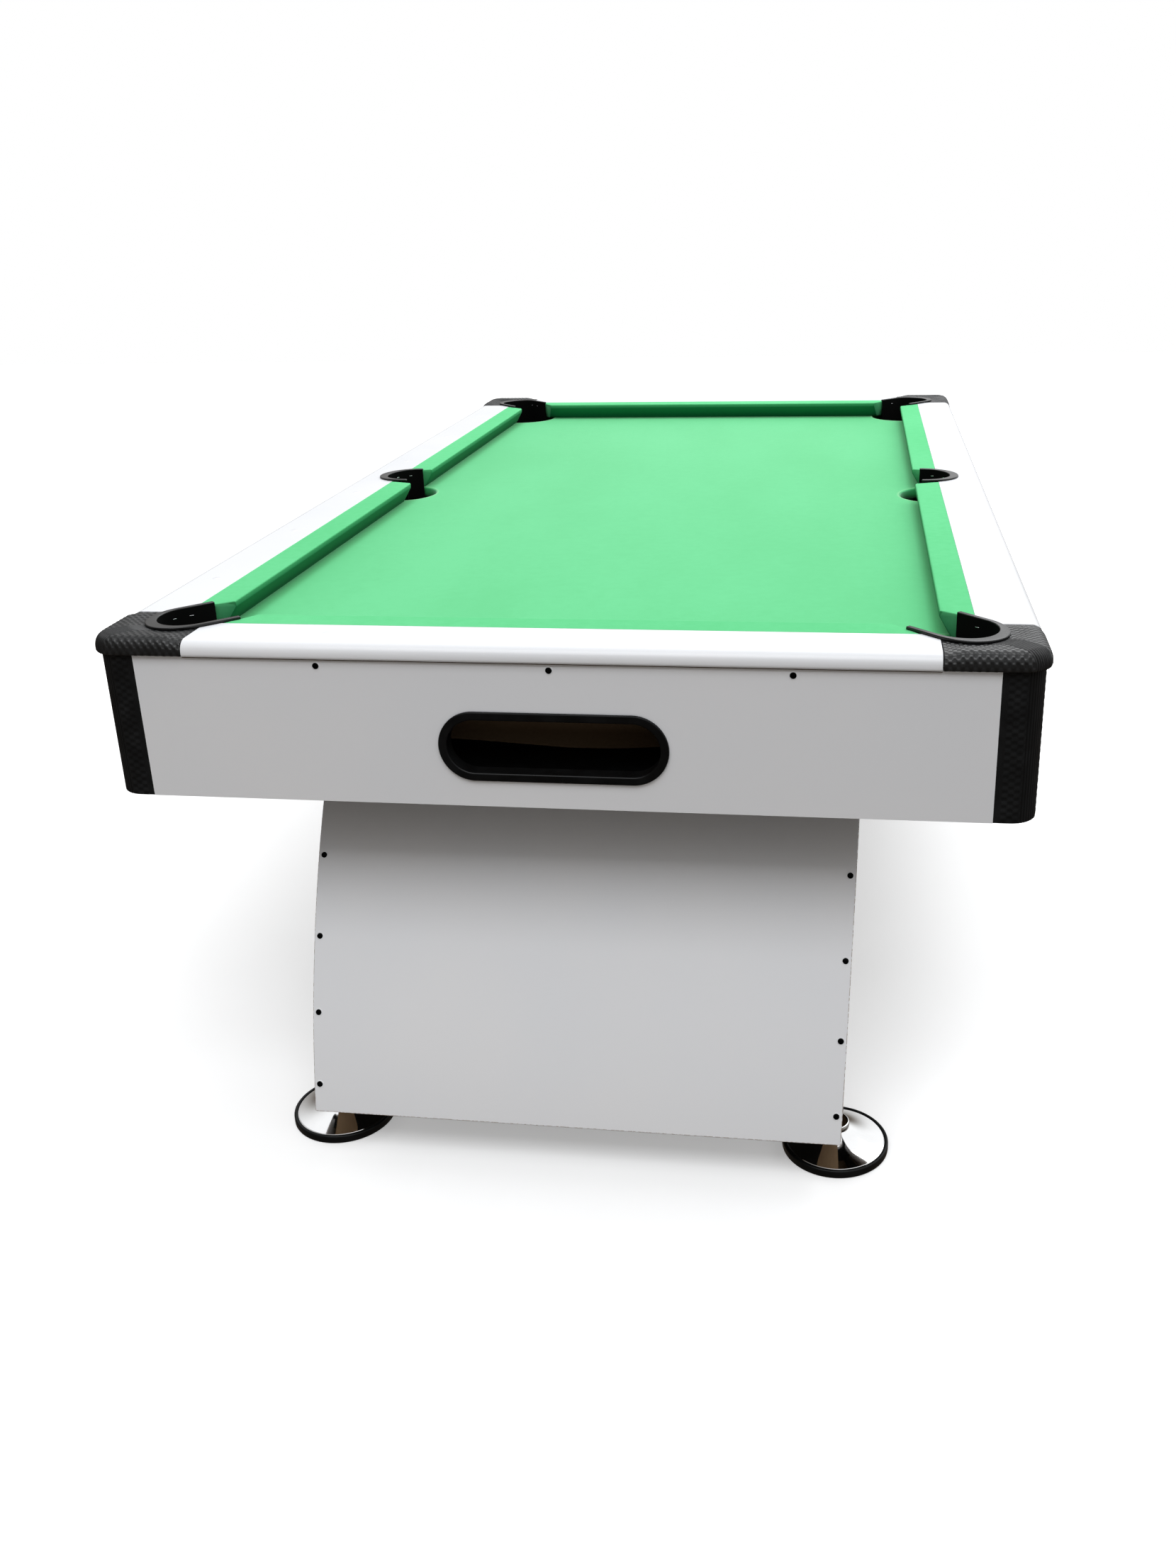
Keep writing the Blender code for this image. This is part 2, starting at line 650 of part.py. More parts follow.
disc_edge = pad_inner - GAP
disc_low = PAD_FLOOR + GAP
rim_top = PAD_HEIGHT - DISC_SINK
socket = STEM_BOSS + STEM_CLEARANCE
boss_low = HUB_TOP - BOSS_HEIGHT
hub_edge = (HUB_TOP - HUB_BASE) / 4
cone = []
for step in range(CONE_STEPS + 1):
    share = step / CONE_STEPS
    dish = math.sin(math.pi * share) * (HUB_BASE - rim_top) / 8
    height = rim_top + (HUB_BASE - rim_top) * share - dish
    cone.append((disc_edge + (HUB_RADIUS - disc_edge) * share, height))
disc_mesh = turned(
    "foot_disc",
    [
        (0.0, disc_low),
        (disc_edge, disc_low),
        *cone,
        (HUB_RADIUS, HUB_TOP - hub_edge),
        (HUB_RADIUS - hub_edge, HUB_TOP),
        (socket, HUB_TOP),
        (socket, boss_low - GAP),
        (0.0, boss_low - GAP),
    ],
)

shoulder_top = leg_base - GAP
shoulder_low = shoulder_top - SHOULDER_HEIGHT
stem_mesh = turned(
    "foot_stem",
    [
        (0.0, boss_low),
        (STEM_BOSS, boss_low),
        (STEM_BOSS, HUB_TOP),
        (STEM_RADIUS, HUB_TOP),
        (STEM_RADIUS, shoulder_low),
        (SHOULDER_FLATS / 2, shoulder_low, "hex"),
        (SHOULDER_FLATS / 2, shoulder_top, "hex"),
        (STEM_RADIUS, shoulder_top),
        (STEM_RADIUS, base_top - GAP),
        (0.0, base_top - GAP),
    ],
)

for corner, (way_x, way_y, _) in CORNERS.items():
    axis = bpy.data.objects.new("foot_axis_" + corner, None)
    bpy.context.scene.collection.objects.link(axis)
    axis.location = (way_x * foot_x, way_y * foot_y, 0)
    place("foot_pad_" + corner, pad_mesh, "black_rubber", parent=axis)
    place("foot_disc_" + corner, disc_mesh, "chrome", parent=axis)
    place("foot_stem_" + corner, stem_mesh, "zinc", parent=axis)
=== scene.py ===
import math

import bmesh
import bpy
import numpy as np
from mathutils import Matrix, Vector
from mathutils.geometry import delaunay_2d_cdt


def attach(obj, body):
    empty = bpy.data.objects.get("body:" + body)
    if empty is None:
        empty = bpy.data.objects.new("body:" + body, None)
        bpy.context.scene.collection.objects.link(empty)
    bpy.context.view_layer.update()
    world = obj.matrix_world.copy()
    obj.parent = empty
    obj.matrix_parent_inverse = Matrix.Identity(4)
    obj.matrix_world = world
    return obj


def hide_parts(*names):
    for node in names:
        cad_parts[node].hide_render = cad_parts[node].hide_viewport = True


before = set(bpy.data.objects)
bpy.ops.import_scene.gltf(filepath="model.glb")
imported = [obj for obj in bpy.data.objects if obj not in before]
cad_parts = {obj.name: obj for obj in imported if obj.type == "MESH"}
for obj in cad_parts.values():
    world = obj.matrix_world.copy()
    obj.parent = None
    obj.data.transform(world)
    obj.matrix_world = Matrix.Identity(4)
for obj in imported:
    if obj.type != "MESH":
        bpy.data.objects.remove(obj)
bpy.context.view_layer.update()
print("frame loaded:", len(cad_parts), "solids")

table = {  # metres, where the solids are
    "top": 0.773,
    "bed": 0.737,
    "railBase": 0.751,
    "apronBase": 0.5527,
    "noseX": 0.4875,
    "noseY": 0.9715,
    "cushion": 0.0435,  # from nose to rail
    "railX": 0.614,
    "railY": 1.098,
    "apronX": 0.608,
    "apronY": 1.092,
    "gap": 0.0003,
}
quarter = math.pi / 2
sideTurns = {"front": 0.0, "right": quarter, "rear": math.pi, "left": -quarter}
corners = {  # which way it lies, and the turn of a piece made for the rear right corner
    "rear_right": (1, 1, 0.0),
    "rear_left": (-1, 1, quarter),
    "front_left": (-1, -1, math.pi),
    "front_right": (1, -1, -quarter),
}


class Wire:  # a shader socket that takes part in sums
    def __init__(self, nodes, socket):
        self.nodes = nodes
        self.socket = socket

    def __add__(self, other):
        return self.nodes.maths("ADD", self, other)

    def __sub__(self, other):
        return self.nodes.maths("SUBTRACT", self, other)

    def __rsub__(self, other):
        return self.nodes.maths("SUBTRACT", other, self)

    def __mul__(self, other):
        return self.nodes.maths("MULTIPLY", self, other)

    __radd__ = __add__
    __rmul__ = __mul__


class Nodes:  # a node tree that grows with each expression
    def __init__(self, tree):
        self.tree = tree

    def node(self, kind, settings, sockets, out=0):
        made = self.tree.nodes.new(kind)
        for setting, value in settings.items():
            setattr(made, setting, value)
        for socket, value in sockets.items():
            if isinstance(value, Wire):
                self.tree.links.new(value.socket, made.inputs[socket])
            else:
                made.inputs[socket].default_value = value
        return Wire(self, made.outputs[out])

    def maths(self, operation, first, second):
        return self.node("ShaderNodeMath", {"operation": operation}, {0: first, 1: second})

    def mix(self, share, first, second):  # 6, 7 and 2 are the sockets for colours
        shades = [s if isinstance(s, Wire) else (*s, 1.0) for s in (first, second)]
        return self.node("ShaderNodeMix", {"data_type": "RGBA"}, {0: share, 6: shades[0], 7: shades[1]}, 2)

    def ease(self, value, low, high):  # 0 below low, 1 above high
        sockets = {"Value": value, "From Min": low, "From Max": high}
        return self.node("ShaderNodeMapRange", {"interpolation_type": "SMOOTHSTEP"}, sockets)


class Paint(Nodes):  # one material
    def __init__(self, name, fixed):
        self.material = bpy.data.materials.new(name)
        self.material.use_nodes = True
        super().__init__(self.material.node_tree)
        self.shader = self.tree.nodes["Principled BSDF"]
        for socket, value in fixed.items():
            self.shader.inputs[socket].default_value = value
        self.spot = self.node("ShaderNodeTexCoord", {}, {}, "Object")

    def noise(self, scale, detail, stretch=(1.0, 1.0, 1.0)):
        drawn = self.node("ShaderNodeMapping", {}, {"Vector": self.spot, "Scale": stretch})
        return self.node("ShaderNodeTexNoise", {}, {"Vector": drawn, "Scale": scale, "Detail": detail})

    def axis(self, letter):
        return self.node("ShaderNodeSeparateXYZ", {}, {0: self.spot}, letter)

    def mark(self, name):  # a value stored on the mesh
        return self.node("ShaderNodeAttribute", {"attribute_name": name}, {}, "Fac")

    def feed(self, socket, wire):
        self.tree.links.new(wire.socket, self.shader.inputs[socket])

    def bump(self, height, distance, strength):
        sockets = {"Strength": strength, "Distance": distance, "Height": height}
        self.feed("Normal", self.node("ShaderNodeBump", {}, sockets))


def store(mesh, mark, values):  # one value a point, for the finishes
    values = np.asarray(values, np.float32).ravel()
    mesh.attributes.new(mark, "FLOAT", "POINT").data.foreach_set("value", values)


def solid(name, points, faces, sharp=35.0, marks=None):
    mesh = bpy.data.meshes.new(name)
    mesh.from_pydata([tuple(point) for point in points], [], faces)
    for mark, values in (marks or {}).items():
        store(mesh, mark, values)
    shape = bmesh.new()
    shape.from_mesh(mesh)
    bmesh.ops.remove_doubles(shape, verts=shape.verts, dist=1e-6)
    bmesh.ops.recalc_face_normals(shape, faces=shape.faces)
    shape.to_mesh(mesh)
    shape.free()
    mesh.shade_smooth()
    mesh.set_sharp_from_angle(angle=math.radians(sharp))
    return mesh


def loft(name, rings, looped=False, sharp=35.0, marks=None):  # closed rings of points, one after another
    rings = np.asarray(rings, float)
    count, size = rings.shape[:2]
    faces = []
    for near in range(count if looped else count - 1):
        far = (near + 1) % count * size
        for here in range(size):
            beside = (here + 1) % size
            faces.append((near * size + here, near * size + beside, far + beside, far + here))
    if not looped:
        faces += [tuple(range(size)), tuple(range((count - 1) * size, count * size))]
    return solid(name, rings.reshape(-1, 3), faces, sharp, marks)


def turned(name, profile, steps=96, sharp=32.0):  # (radius, height) or (radius, height, "hex")
    rings = []
    for radius, height, *form in profile:
        angles = np.arange(steps) * 2 * math.pi / steps
        reach = np.full(steps, radius)
        if form:
            reach = radius / np.cos(angles % (math.pi / 3) - math.pi / 6)
        rings.append(np.stack([reach * np.cos(angles), reach * np.sin(angles), np.full(steps, height)], 1))
    return loft(name, rings, sharp=sharp)


def arc(middle, radius, start, end, steps):
    angles = np.linspace(start, end, steps + 1)
    return [(middle[0] + radius * math.cos(a), middle[1] + radius * math.sin(a)) for a in angles]


def inset(section, amount):  # a closed outline moved inwards along its normals
    tiny = 1e-9  # keeps a doubled point from dividing by nothing
    points = np.asarray(section, float)
    edges = np.roll(points, -1, 0) - points
    edges /= np.maximum(np.linalg.norm(edges, axis=1, keepdims=True), tiny)
    ways = edges + np.roll(edges, 1, 0)
    ways /= np.maximum(np.linalg.norm(ways, axis=1, keepdims=True), tiny)
    x, y = points.T
    turning = np.sign(np.sum(x * np.roll(y, -1) - np.roll(x, -1) * y))
    return points + amount * turning * np.stack([-ways[:, 1], ways[:, 0]], 1)


def smooth(value, low, high):
    share = np.clip((value - low) / (high - low), 0.0, 1.0)
    return share * share * (3.0 - 2.0 * share)


def added(name, data):
    made = bpy.data.objects.new(name, data)
    bpy.context.scene.collection.objects.link(made)
    return made


def piece(name, mesh, paint, stands=(), body="table", where=None):
    made = added(name, mesh)
    if where is not None:
        made.matrix_world = where
    if not mesh.materials:
        mesh.materials.append(paint.material)
    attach(made, body)
    if stands:
        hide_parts(*stands)
    return made


def repaint(node, paint):  # a solid that stays in view
    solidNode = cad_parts[node]
    solidNode.data.materials.clear()
    solidNode.data.materials.append(paint.material)
    return solidNode


def carve(made, cutters):
    for cutter in cutters:
        change = made.modifiers.new("carve", "BOOLEAN")
        change.operation = "DIFFERENCE"
        change.solver = "EXACT"
        change.object = cutter
    graph = bpy.context.evaluated_depsgraph_get()
    made.data = bpy.data.meshes.new_from_object(made.evaluated_get(graph))
    made.modifiers.clear()


def soften(made, width, steps=3):
    edge = made.modifiers.new("soften", "BEVEL")
    edge.width = width
    edge.segments = steps
    edge.limit_method = "ANGLE"
    edge.angle_limit = math.radians(40)
    edge.harden_normals = True


def joined(name, mesh, places):  # copies of a small mesh as one
    points, faces = [], []
    for where in places:
        start = len(points)
        points += [where @ vertex.co for vertex in mesh.vertices]
        faces += [tuple(start + corner for corner in face.vertices) for face in mesh.polygons]
    return solid(name, points, faces)


def turnedBy(angle, where=(0.0, 0.0, 0.0)):
    return Matrix.Translation(where) @ Matrix.Rotation(angle, 4, "Z")


def facing(where, out):  # a small piece's own +Z turned to point out of a surface
    return Matrix.Translation(where) @ Vector(out).to_track_quat("Z", "Y").to_matrix().to_4x4()


# camera and light

camera = {
    "place": (0.3664, -2.7027, 1.2977),
    "yaw": -0.148959,
    "pitch": 0.369088,
    "roll": -0.028471,
    "lens": 31.959,
    "shift": (-0.03887, -0.0355),
}


def setCamera():
    yaw, pitch, roll = camera["yaw"], camera["pitch"], camera["roll"]
    ahead = Vector((math.sin(yaw) * math.cos(pitch), math.cos(yaw) * math.cos(pitch), -math.sin(pitch)))
    level = Vector((math.cos(yaw), -math.sin(yaw), 0.0))
    above = level.cross(ahead)
    right = math.cos(roll) * level + math.sin(roll) * above
    up = math.cos(roll) * above - math.sin(roll) * level
    data = bpy.data.cameras.new("camera")
    data.lens = camera["lens"]
    data.shift_x, data.shift_y = camera["shift"]
    made = added("camera", data)
    turn = Matrix((right, up, -ahead)).transposed().to_4x4()
    made.matrix_world = Matrix.Translation(camera["place"]) @ turn
    bpy.context.scene.camera = made


studio = {
    "lamps": {  # place, aim, width, length, watts, tint
        "overhead": ((0.9, 1.3, 3.2), (0.2, 0.4, 0.7), 3.4, 3.0, 72.0, (0.98, 0.99, 1.0)),
        "frontSoft": ((-0.1, -3.1, 3.9), (0.0, -0.9, 0.5), 3.6, 2.0, 72.0, (0.965, 0.98, 1.0)),
        "rearFill": ((0.4, 3.3, 1.7), (0.0, 0.9, 0.65), 3.0, 1.4, 20.0, (1.0, 1.0, 1.0)),
        "leftFill": ((-3.2, 0.4, 1.5), (-0.6, 0.2, 0.6), 3.0, 1.4, 16.0, (1.0, 1.0, 1.0)),
        "floorBounce": ((-0.05, -2.3, 0.06), (0.0, -1.0, 0.40), 2.8, 0.5, 4.0, (1.0, 0.97, 0.94)),
    },
    "unseen": ("rearFill", "leftFill", "floorBounce"),  # lamps that nothing reflects
    "backdrop": (1.0, 1.0, 1.0, 1.0),
    "sky": (0.98, 0.99, 1.0),
    "ground": (0.105, 0.086, 0.068),  # what the undersides see
    "skyLight": 0.78,
    "skyRise": (-0.02, 0.72),  # height of a direction where the sky starts, and where it is full
    "skyLean": (0.34, 0.24, 1.0),  # brighter to the right and the rear
    "skyShine": 0.35,  # how much brighter it is in reflections
    "floor": 9.0,
    "floorLines": 13,
    "floorFinish": {"Roughness": 0.7, "Specular IOR Level": 0.1, "Emission Strength": 1.0},
    "floorGrain": (9.0, 4.0),  # scale and detail, as for each noise below
    "floorTones": ((0.84, 0.84, 0.84), (0.88, 0.88, 0.88)),
    "floorGlow": (0.33, 1.0),  # beside the table and far from it
    "floorReach": (1.3, 3.4),
}


def setSky():
    scene = bpy.context.scene
    scene.view_settings.view_transform = "Standard"
    scene.world = bpy.data.worlds.new("studio")
    scene.world.use_nodes = True
    sky = Nodes(scene.world.node_tree)
    way = {0: sky.node("ShaderNodeTexCoord", {}, {}, "Generated"), 1: studio["skyLean"]}
    lean = sky.node("ShaderNodeVectorMath", {"operation": "DOT_PRODUCT"}, way, "Value")
    shade = sky.mix(sky.ease(lean, *studio["skyRise"]), studio["ground"], studio["sky"])
    glossy = sky.node("ShaderNodeLightPath", {}, {}, "Is Glossy Ray")
    direct = sky.node("ShaderNodeLightPath", {}, {}, "Is Camera Ray")
    strength = studio["skyLight"] * (1 + studio["skyShine"] * glossy)
    room = sky.node("ShaderNodeBackground", {}, {"Color": shade, "Strength": strength})
    seen = sky.node("ShaderNodeBackground", {}, {"Color": studio["backdrop"]})
    blend = sky.node("ShaderNodeMixShader", {}, {0: direct, 1: room, 2: seen})
    sky.tree.links.new(blend.socket, sky.tree.nodes["World Output"].inputs[0])


def setLamps():
    for name, (place, aim, width, length, watts, tint) in studio["lamps"].items():
        data = bpy.data.lights.new(name, "AREA")
        data.shape = "RECTANGLE"
        data.size, data.size_y = width, length
        data.energy = watts
        data.color = tint
        lamp = added(name, data)
        lamp.visible_camera = False
        lamp.visible_glossy = name not in studio["unseen"]
        lamp.matrix_world = facing(place, Vector(place) - Vector(aim))


def setFloor():
    reach, count = studio["floor"], studio["floorLines"]
    paint = Paint("paleFloor", studio["floorFinish"])
    away = paint.node("ShaderNodeVectorMath", {"operation": "LENGTH"}, {0: paint.spot}, "Value")
    near, far = [(glow, glow, glow) for glow in studio["floorGlow"]]
    paint.feed("Base Color", paint.mix(paint.noise(*studio["floorGrain"]), *studio["floorTones"]))
    paint.feed("Emission Color", paint.mix(paint.ease(away, *studio["floorReach"]), near, far))
    steps = np.linspace(-reach, reach, count)
    points = [(x, y, -table["gap"]) for y in steps for x in steps]
    starts = [row * count + column for row in range(count - 1) for column in range(count - 1)]
    faces = [(here, here + 1, here + count + 1, here + count) for here in starts]
    floor = added("floor", solid("floor", points, faces))
    floor.data.materials.append(paint.material)
    floor.visible_diffuse = False  # the pale floor doesn't brighten the undersides
    floor.visible_glossy = False


setCamera()
setSky()
setLamps()
setFloor()
print("camera, light and floor set")


# finishes, where a noise is a scale and a detail, and a relief a depth and a strength

laminate = {
    "cool": (0.832, 0.848, 0.876),
    "warm": (0.855, 0.862, 0.880),
    "chip": (0.30, 0.20, 0.13),
    "shine": 0.45,
    "rough": (0.20, 0.08),  # least, and what the clouds add
    "clouds": (4.0, 3.0),
    "cloudEdge": (0.25, 0.75),
    "peel": (520.0, 2.0),
    "relief": (0.00006, 0.5),
    "chips": (220.0, 4.0),
    "chipEdge": (0.44, 0.52),
}


def laminatePaint():
    paint = Paint("whiteLaminate", {"Specular IOR Level": laminate["shine"]})
    clouds = paint.noise(*laminate["clouds"])
    chips = paint.ease(paint.noise(*laminate["chips"]), *laminate["chipEdge"]) * paint.mark("edge")
    shade = paint.mix(paint.ease(clouds, *laminate["cloudEdge"]), laminate["cool"], laminate["warm"])
    paint.feed("Base Color", paint.mix(chips, shade, laminate["chip"]))
    least, more = laminate["rough"]
    paint.feed("Roughness", least + more * clouds)
    paint.bump(paint.noise(*laminate["peel"]), *laminate["relief"])
    return paint


board = {
    "pale": (0.60, 0.42, 0.26),
    "dark": (0.42, 0.28, 0.16),
    "paintedShade": (0.006, 0.006, 0.006),
    "paintedShadeEdge": 0.001,
    "shine": 0.25,
    "rough": (0.75, 0.2),
    "fibre": (260.0, 5.0),
    "blotch": (14.0, 3.0),
    "blotched": 0.4,
    "relief": (0.0003, 0.6),
}


def boardPaint(name, lift, paintedShade=None):
    paint = Paint(name, {"Specular IOR Level": board["shine"]})
    fibre = paint.noise(*board["fibre"])
    blotch = paint.noise(*board["blotch"])
    dark, pale = [tuple(lift * shade for shade in board[tone]) for tone in ("dark", "pale")]
    shade = paint.mix((1 - board["blotched"]) * fibre + board["blotched"] * blotch, dark, pale)
    if paintedShade:  # painted shade: black but for its two ends, standing in for the dark hollow of the pedestal
        away = paint.maths("ABSOLUTE", paint.axis("X"), 0.0)
        bare = paint.ease(away, paintedShade, paintedShade + board["paintedShadeEdge"])
        shade = paint.mix(bare, board["paintedShade"], shade)
    paint.feed("Base Color", shade)
    least, more = board["rough"]
    paint.feed("Roughness", least + more * fibre)
    paint.bump(fibre, *board["relief"])
    return paint


moulding = {
    "deep": (0.008, 0.0085, 0.009),
    "wearAndHighlight": (0.016, 0.017, 0.018),
    # painted shade in the hollows
    "hollowShade": (0.002, 0.002, 0.002),
    "rough": (0.20, 0.20, 0.5),  # least, and what dust and hollows add
    "coatRough": 0.22,
    "grain": (1400.0, 2.0),
    "dust": (38.0, 5.0),
    "dustEdge": (0.3, 0.8),
    "relief": (0.00005, 0.5),
}


def mouldingPaint(name, lift, shine, coat=0.0):
    paint = Paint(name, {"Specular IOR Level": shine, "Coat Roughness": moulding["coatRough"]})
    dust = paint.noise(*moulding["dust"])
    deep, wearAndHighlight = [tuple(lift * shade for shade in moulding[tone]) for tone in ("deep", "wearAndHighlight")]
    # the 'deep' mark paints shade into the hollows of the caps' and posts' relief, the posts' insides and
    # the liners' walls
    hollowShade = paint.mark("deep")
    shade = paint.mix(paint.ease(dust, *moulding["dustEdge"]), deep, wearAndHighlight)
    paint.feed("Base Color", paint.mix(hollowShade, shade, moulding["hollowShade"]))
    least, dusty, sunk = moulding["rough"]
    paint.feed("Roughness", least + dusty * dust + sunk * hollowShade)
    if coat:  # a gloss that the hollows lack
        paint.feed("Coat Weight", coat * (1 - hollowShade))
    paint.bump(paint.noise(*moulding["grain"]), *moulding["relief"])
    return paint


cloth = {
    "lit": (0.106, 0.590, 0.236),
    "brushed": (0.090, 0.548, 0.206),
    "cushion": (0.142, 0.596, 0.266),
    "cushionDark": (0.118, 0.550, 0.230),
    "rim": (0.50, 0.80, 0.46),  # painted highlight along the cut edge of the holes
    "rimShare": 0.75,
    "under": (0.006, 0.130, 0.050),  # painted shade on the cushions' faces and undercut
    "shaded": (0.006, 0.320, 0.060),  # bed beside the cushions and in its holes
    "sheen": {"Sheen Roughness": 0.40, "Sheen Tint": (0.65, 1.0, 0.78, 1.0)},
    "rough": (0.82, 0.15),
    "pile": (1900.0, 3.0, (1.0, 0.45, 1.0)),  # drawn out along the table
    "brush": (5.0, 5.0, (1.0, 0.35, 1.0)),
    "mottle": (70.0, 4.0),
    "shares": (0.55, 0.25, 0.2),  # of brush, mottle and pile
    "edge": (0.36, 0.64),
    "relief": (0.00025, 0.7),
}


def clothPaint(name, pale, dark, shaded, nap, shine):
    paint = Paint(name, {"Specular IOR Level": shine, "Sheen Weight": nap, **cloth["sheen"]})
    pile, brush, mottle = [paint.noise(*cloth[noise]) for noise in ("pile", "brush", "mottle")]
    brushed, mottled, piled = cloth["shares"]
    share = paint.ease(brushed * brush + mottled * mottle + piled * pile, *cloth["edge"])
    # the 'under' mark paints shade: on the cushions' faces, and on the bed beside the cushions and down in
    # its holes
    shade = paint.mix(paint.mark("under"), paint.mix(share, cloth[dark], cloth[pale]), cloth[shaded])
    # the 'rim' mark paints a highlight along the holes' cut edge
    paint.feed("Base Color", paint.mix(cloth["rimShare"] * paint.mark("rim"), shade, cloth["rim"]))
    least, more = cloth["rough"]
    paint.feed("Roughness", least + more * pile)
    paint.bump(pile, *cloth["relief"])
    return paint


metal = {
    "brushed": (60.0, 4.0, (1.0, 1.0, 9.0)),
    "smear": (24.0, 3.0),
    "smearEdge": (0.3, 0.7),
    "relief": (0.00002, 0.4),
}


def metalPaint(name, pale, dark, polish, rough):
    paint = Paint(name, {"Metallic": 1.0})
    brushed = paint.noise(*metal["brushed"])
    smear = paint.ease(paint.noise(*metal["smear"]), *metal["smearEdge"])
    paint.feed("Base Color", paint.mix(smear, dark, pale))
    paint.feed("Roughness", polish + (rough - polish) * brushed)
    paint.bump(brushed, *metal["relief"])
    return paint


whiteLaminate = laminatePaint()
rawBoard = boardPaint("rawBoard", lift=1.0)
# raw board darkened as painted shadow, for the strip under the rails
rawEdgeShadow = boardPaint("rawEdgeShadow", lift=0.16)
# raw board at a third of its brightness, painted shade for where it sits deep in the cabinet and down in
# the holes
shadedBoard = boardPaint("shadedBoard", lift=0.3)
# black in the middle as painted shade of the pedestal's hollow, raw board at both ends
baseBoard = boardPaint("baseBoard", lift=0.8, paintedShade=0.335)
capBlack = mouldingPaint("capBlack", lift=1.1, shine=0.30, coat=0.28)
postBlack = mouldingPaint("postBlack", lift=1.1, shine=0.14)
satinBlack = mouldingPaint("satinBlack", lift=0.5, shine=0.05, coat=0.75)
bezelBlack = mouldingPaint("bezelBlack", lift=0.4, shine=0.14)
trayBlack = mouldingPaint("trayBlack", lift=0.15, shine=0.02)
blackRubber = mouldingPaint("blackRubber", lift=0.5, shine=0.15)
bedGreen = clothPaint("bedGreen", "lit", "brushed", "shaded", nap=0.56, shine=0.16)
cushionGreen = clothPaint("cushionGreen", "cushion", "cushionDark", "under", nap=0.04, shine=0.04)
chrome = metalPaint("chrome", (0.95, 0.95, 0.95), (0.90, 0.90, 0.90), polish=0.03, rough=0.09)
zinc = metalPaint("zinc", (0.62, 0.62, 0.64), (0.48, 0.49, 0.51), polish=0.22, rough=0.42)
print("finishes made")


# rails

rail = {
    "width": 0.083,
    "round": 0.016,
    "roundSteps": 14,
    "under": 0.004,  # radius of the lower edge
    "underSteps": 6,
    "flatEnd": 0.0015,  # how far the flat top stops short of the round
    "inner": 0.0617,
    "endHalf": 0.4827,
    "sideHalf": 0.9667,
    "edge": 0.0006,
    "plugs": {"end": (-0.30, 0.0, 0.30), "side": (-0.79, -0.477, -0.16, 0.16, 0.477, 0.79)},
    "plug": (0.006, 0.0004),  # radius and rise
    "plugSteps": 32,
    "plugIn": 0.037,
    "seam": 0.0007,  # dark joint at each end
    "lip": (0.0025, 0.0030, 0.0006),  # raw board strip under the rounded edge, darkened as painted shadow: set back, depth and height
    "lipGap": 0.0001,
}
pocket = {
    "corner": {"bore": 0.044, "arm": 0.050, "staples": (-110, 79, 110)},
    "side": {"bore": 0.052, "arm": 0.002, "staples": (-65, -34, 34, 65)},
    "cornerSet": 0.0245,
    "sideSet": 0.015,
    "wall": 0.0035,
    "depth": 0.055,
    "flange": 0.007,
    "crown": 0.0095,
    "flangeHeight": 0.004,
    "crownDrop": 0.0012,  # lower at the crown than on the arms
    "flangeRound": 0.0016,
    "flangeSteps": 5,
    "flangeDish": 0.0002,
    "softEnd": ((0.0, 0.0010), (0.0004, 0.0004), (0.0012, 0.0)),  # along an arm, and inwards
    "steps": 64,
    "room": (0.002, 0.010, 48),  # the cut in a rail: below the bed, above the top, and its steps
    "staple": (0.0056, 0.0006),  # length and half the wire's thickness
    "stapleBend": ((-1, -0.9), (-1, 0.3), (-0.9, 0.9), (0.9, 0.9), (1, 0.3), (1, -0.9)),
    "stapleSides": 8,
    "stapleForm": (0.6, 0.5),  # how high the bends stand, and the wire, against half its thickness
    "stapleHeight": 0.764,
}
pockets = {}  # kind and place; a liner opens towards its own -Y
for corner, (wayX, wayY, turn) in corners.items():
    out = [table[nose] + pocket["cornerSet"] for nose in ("noseX", "noseY")]
    pockets[corner] = ("corner", turnedBy(turn - quarter / 2, (wayX * out[0], wayY * out[1], 0.0)))
for side, wayX in (("side_right", 1), ("side_left", -1)):
    where = (wayX * (table["noseX"] + pocket["sideSet"]), 0.0, 0.0)
    pockets[side] = ("side", turnedBy(-wayX * quarter, where))


def horseshoe(half, arm, steps):  # points and outward directions
    walk = [((-half, -arm), (-1.0, 0.0))]
    for angle in np.linspace(math.pi, 0.0, steps + 1):
        way = (math.cos(angle), math.sin(angle))
        walk.append(((half * way[0], half * way[1]), way))
    return walk + [((half, -arm), (1.0, 0.0))]


def linerRoom(name):
    kind, where = pockets[name]
    below, above, steps = pocket["room"]
    bore = pocket[kind]["bore"] + (pocket["wall"] + table["gap"])
    walk = horseshoe(bore, pocket[kind]["arm"] + table["gap"], steps)
    rings = [[(x, y, z) for (x, y), _ in walk] for z in (table["bed"] - below, table["top"] + above)]
    made = added("room_" + name, loft("room_" + name, rings))
    made.matrix_world = where
    return made


def railSection():
    big, small, width = rail["round"], rail["under"], rail["width"]
    top, low, seat = table["top"], table["railBase"], table["bed"] + table["gap"]
    section = [(0.0, seat), (0.0, top), (width - big - rail["flatEnd"], top)]
    section += arc((width - big, top - big), big, quarter, 0.0, rail["roundSteps"])
    section += arc((width - small, low + small), small, 0.0, -quarter, rail["underSteps"])
    return section + [(rail["inner"], low), (rail["inner"], seat)]


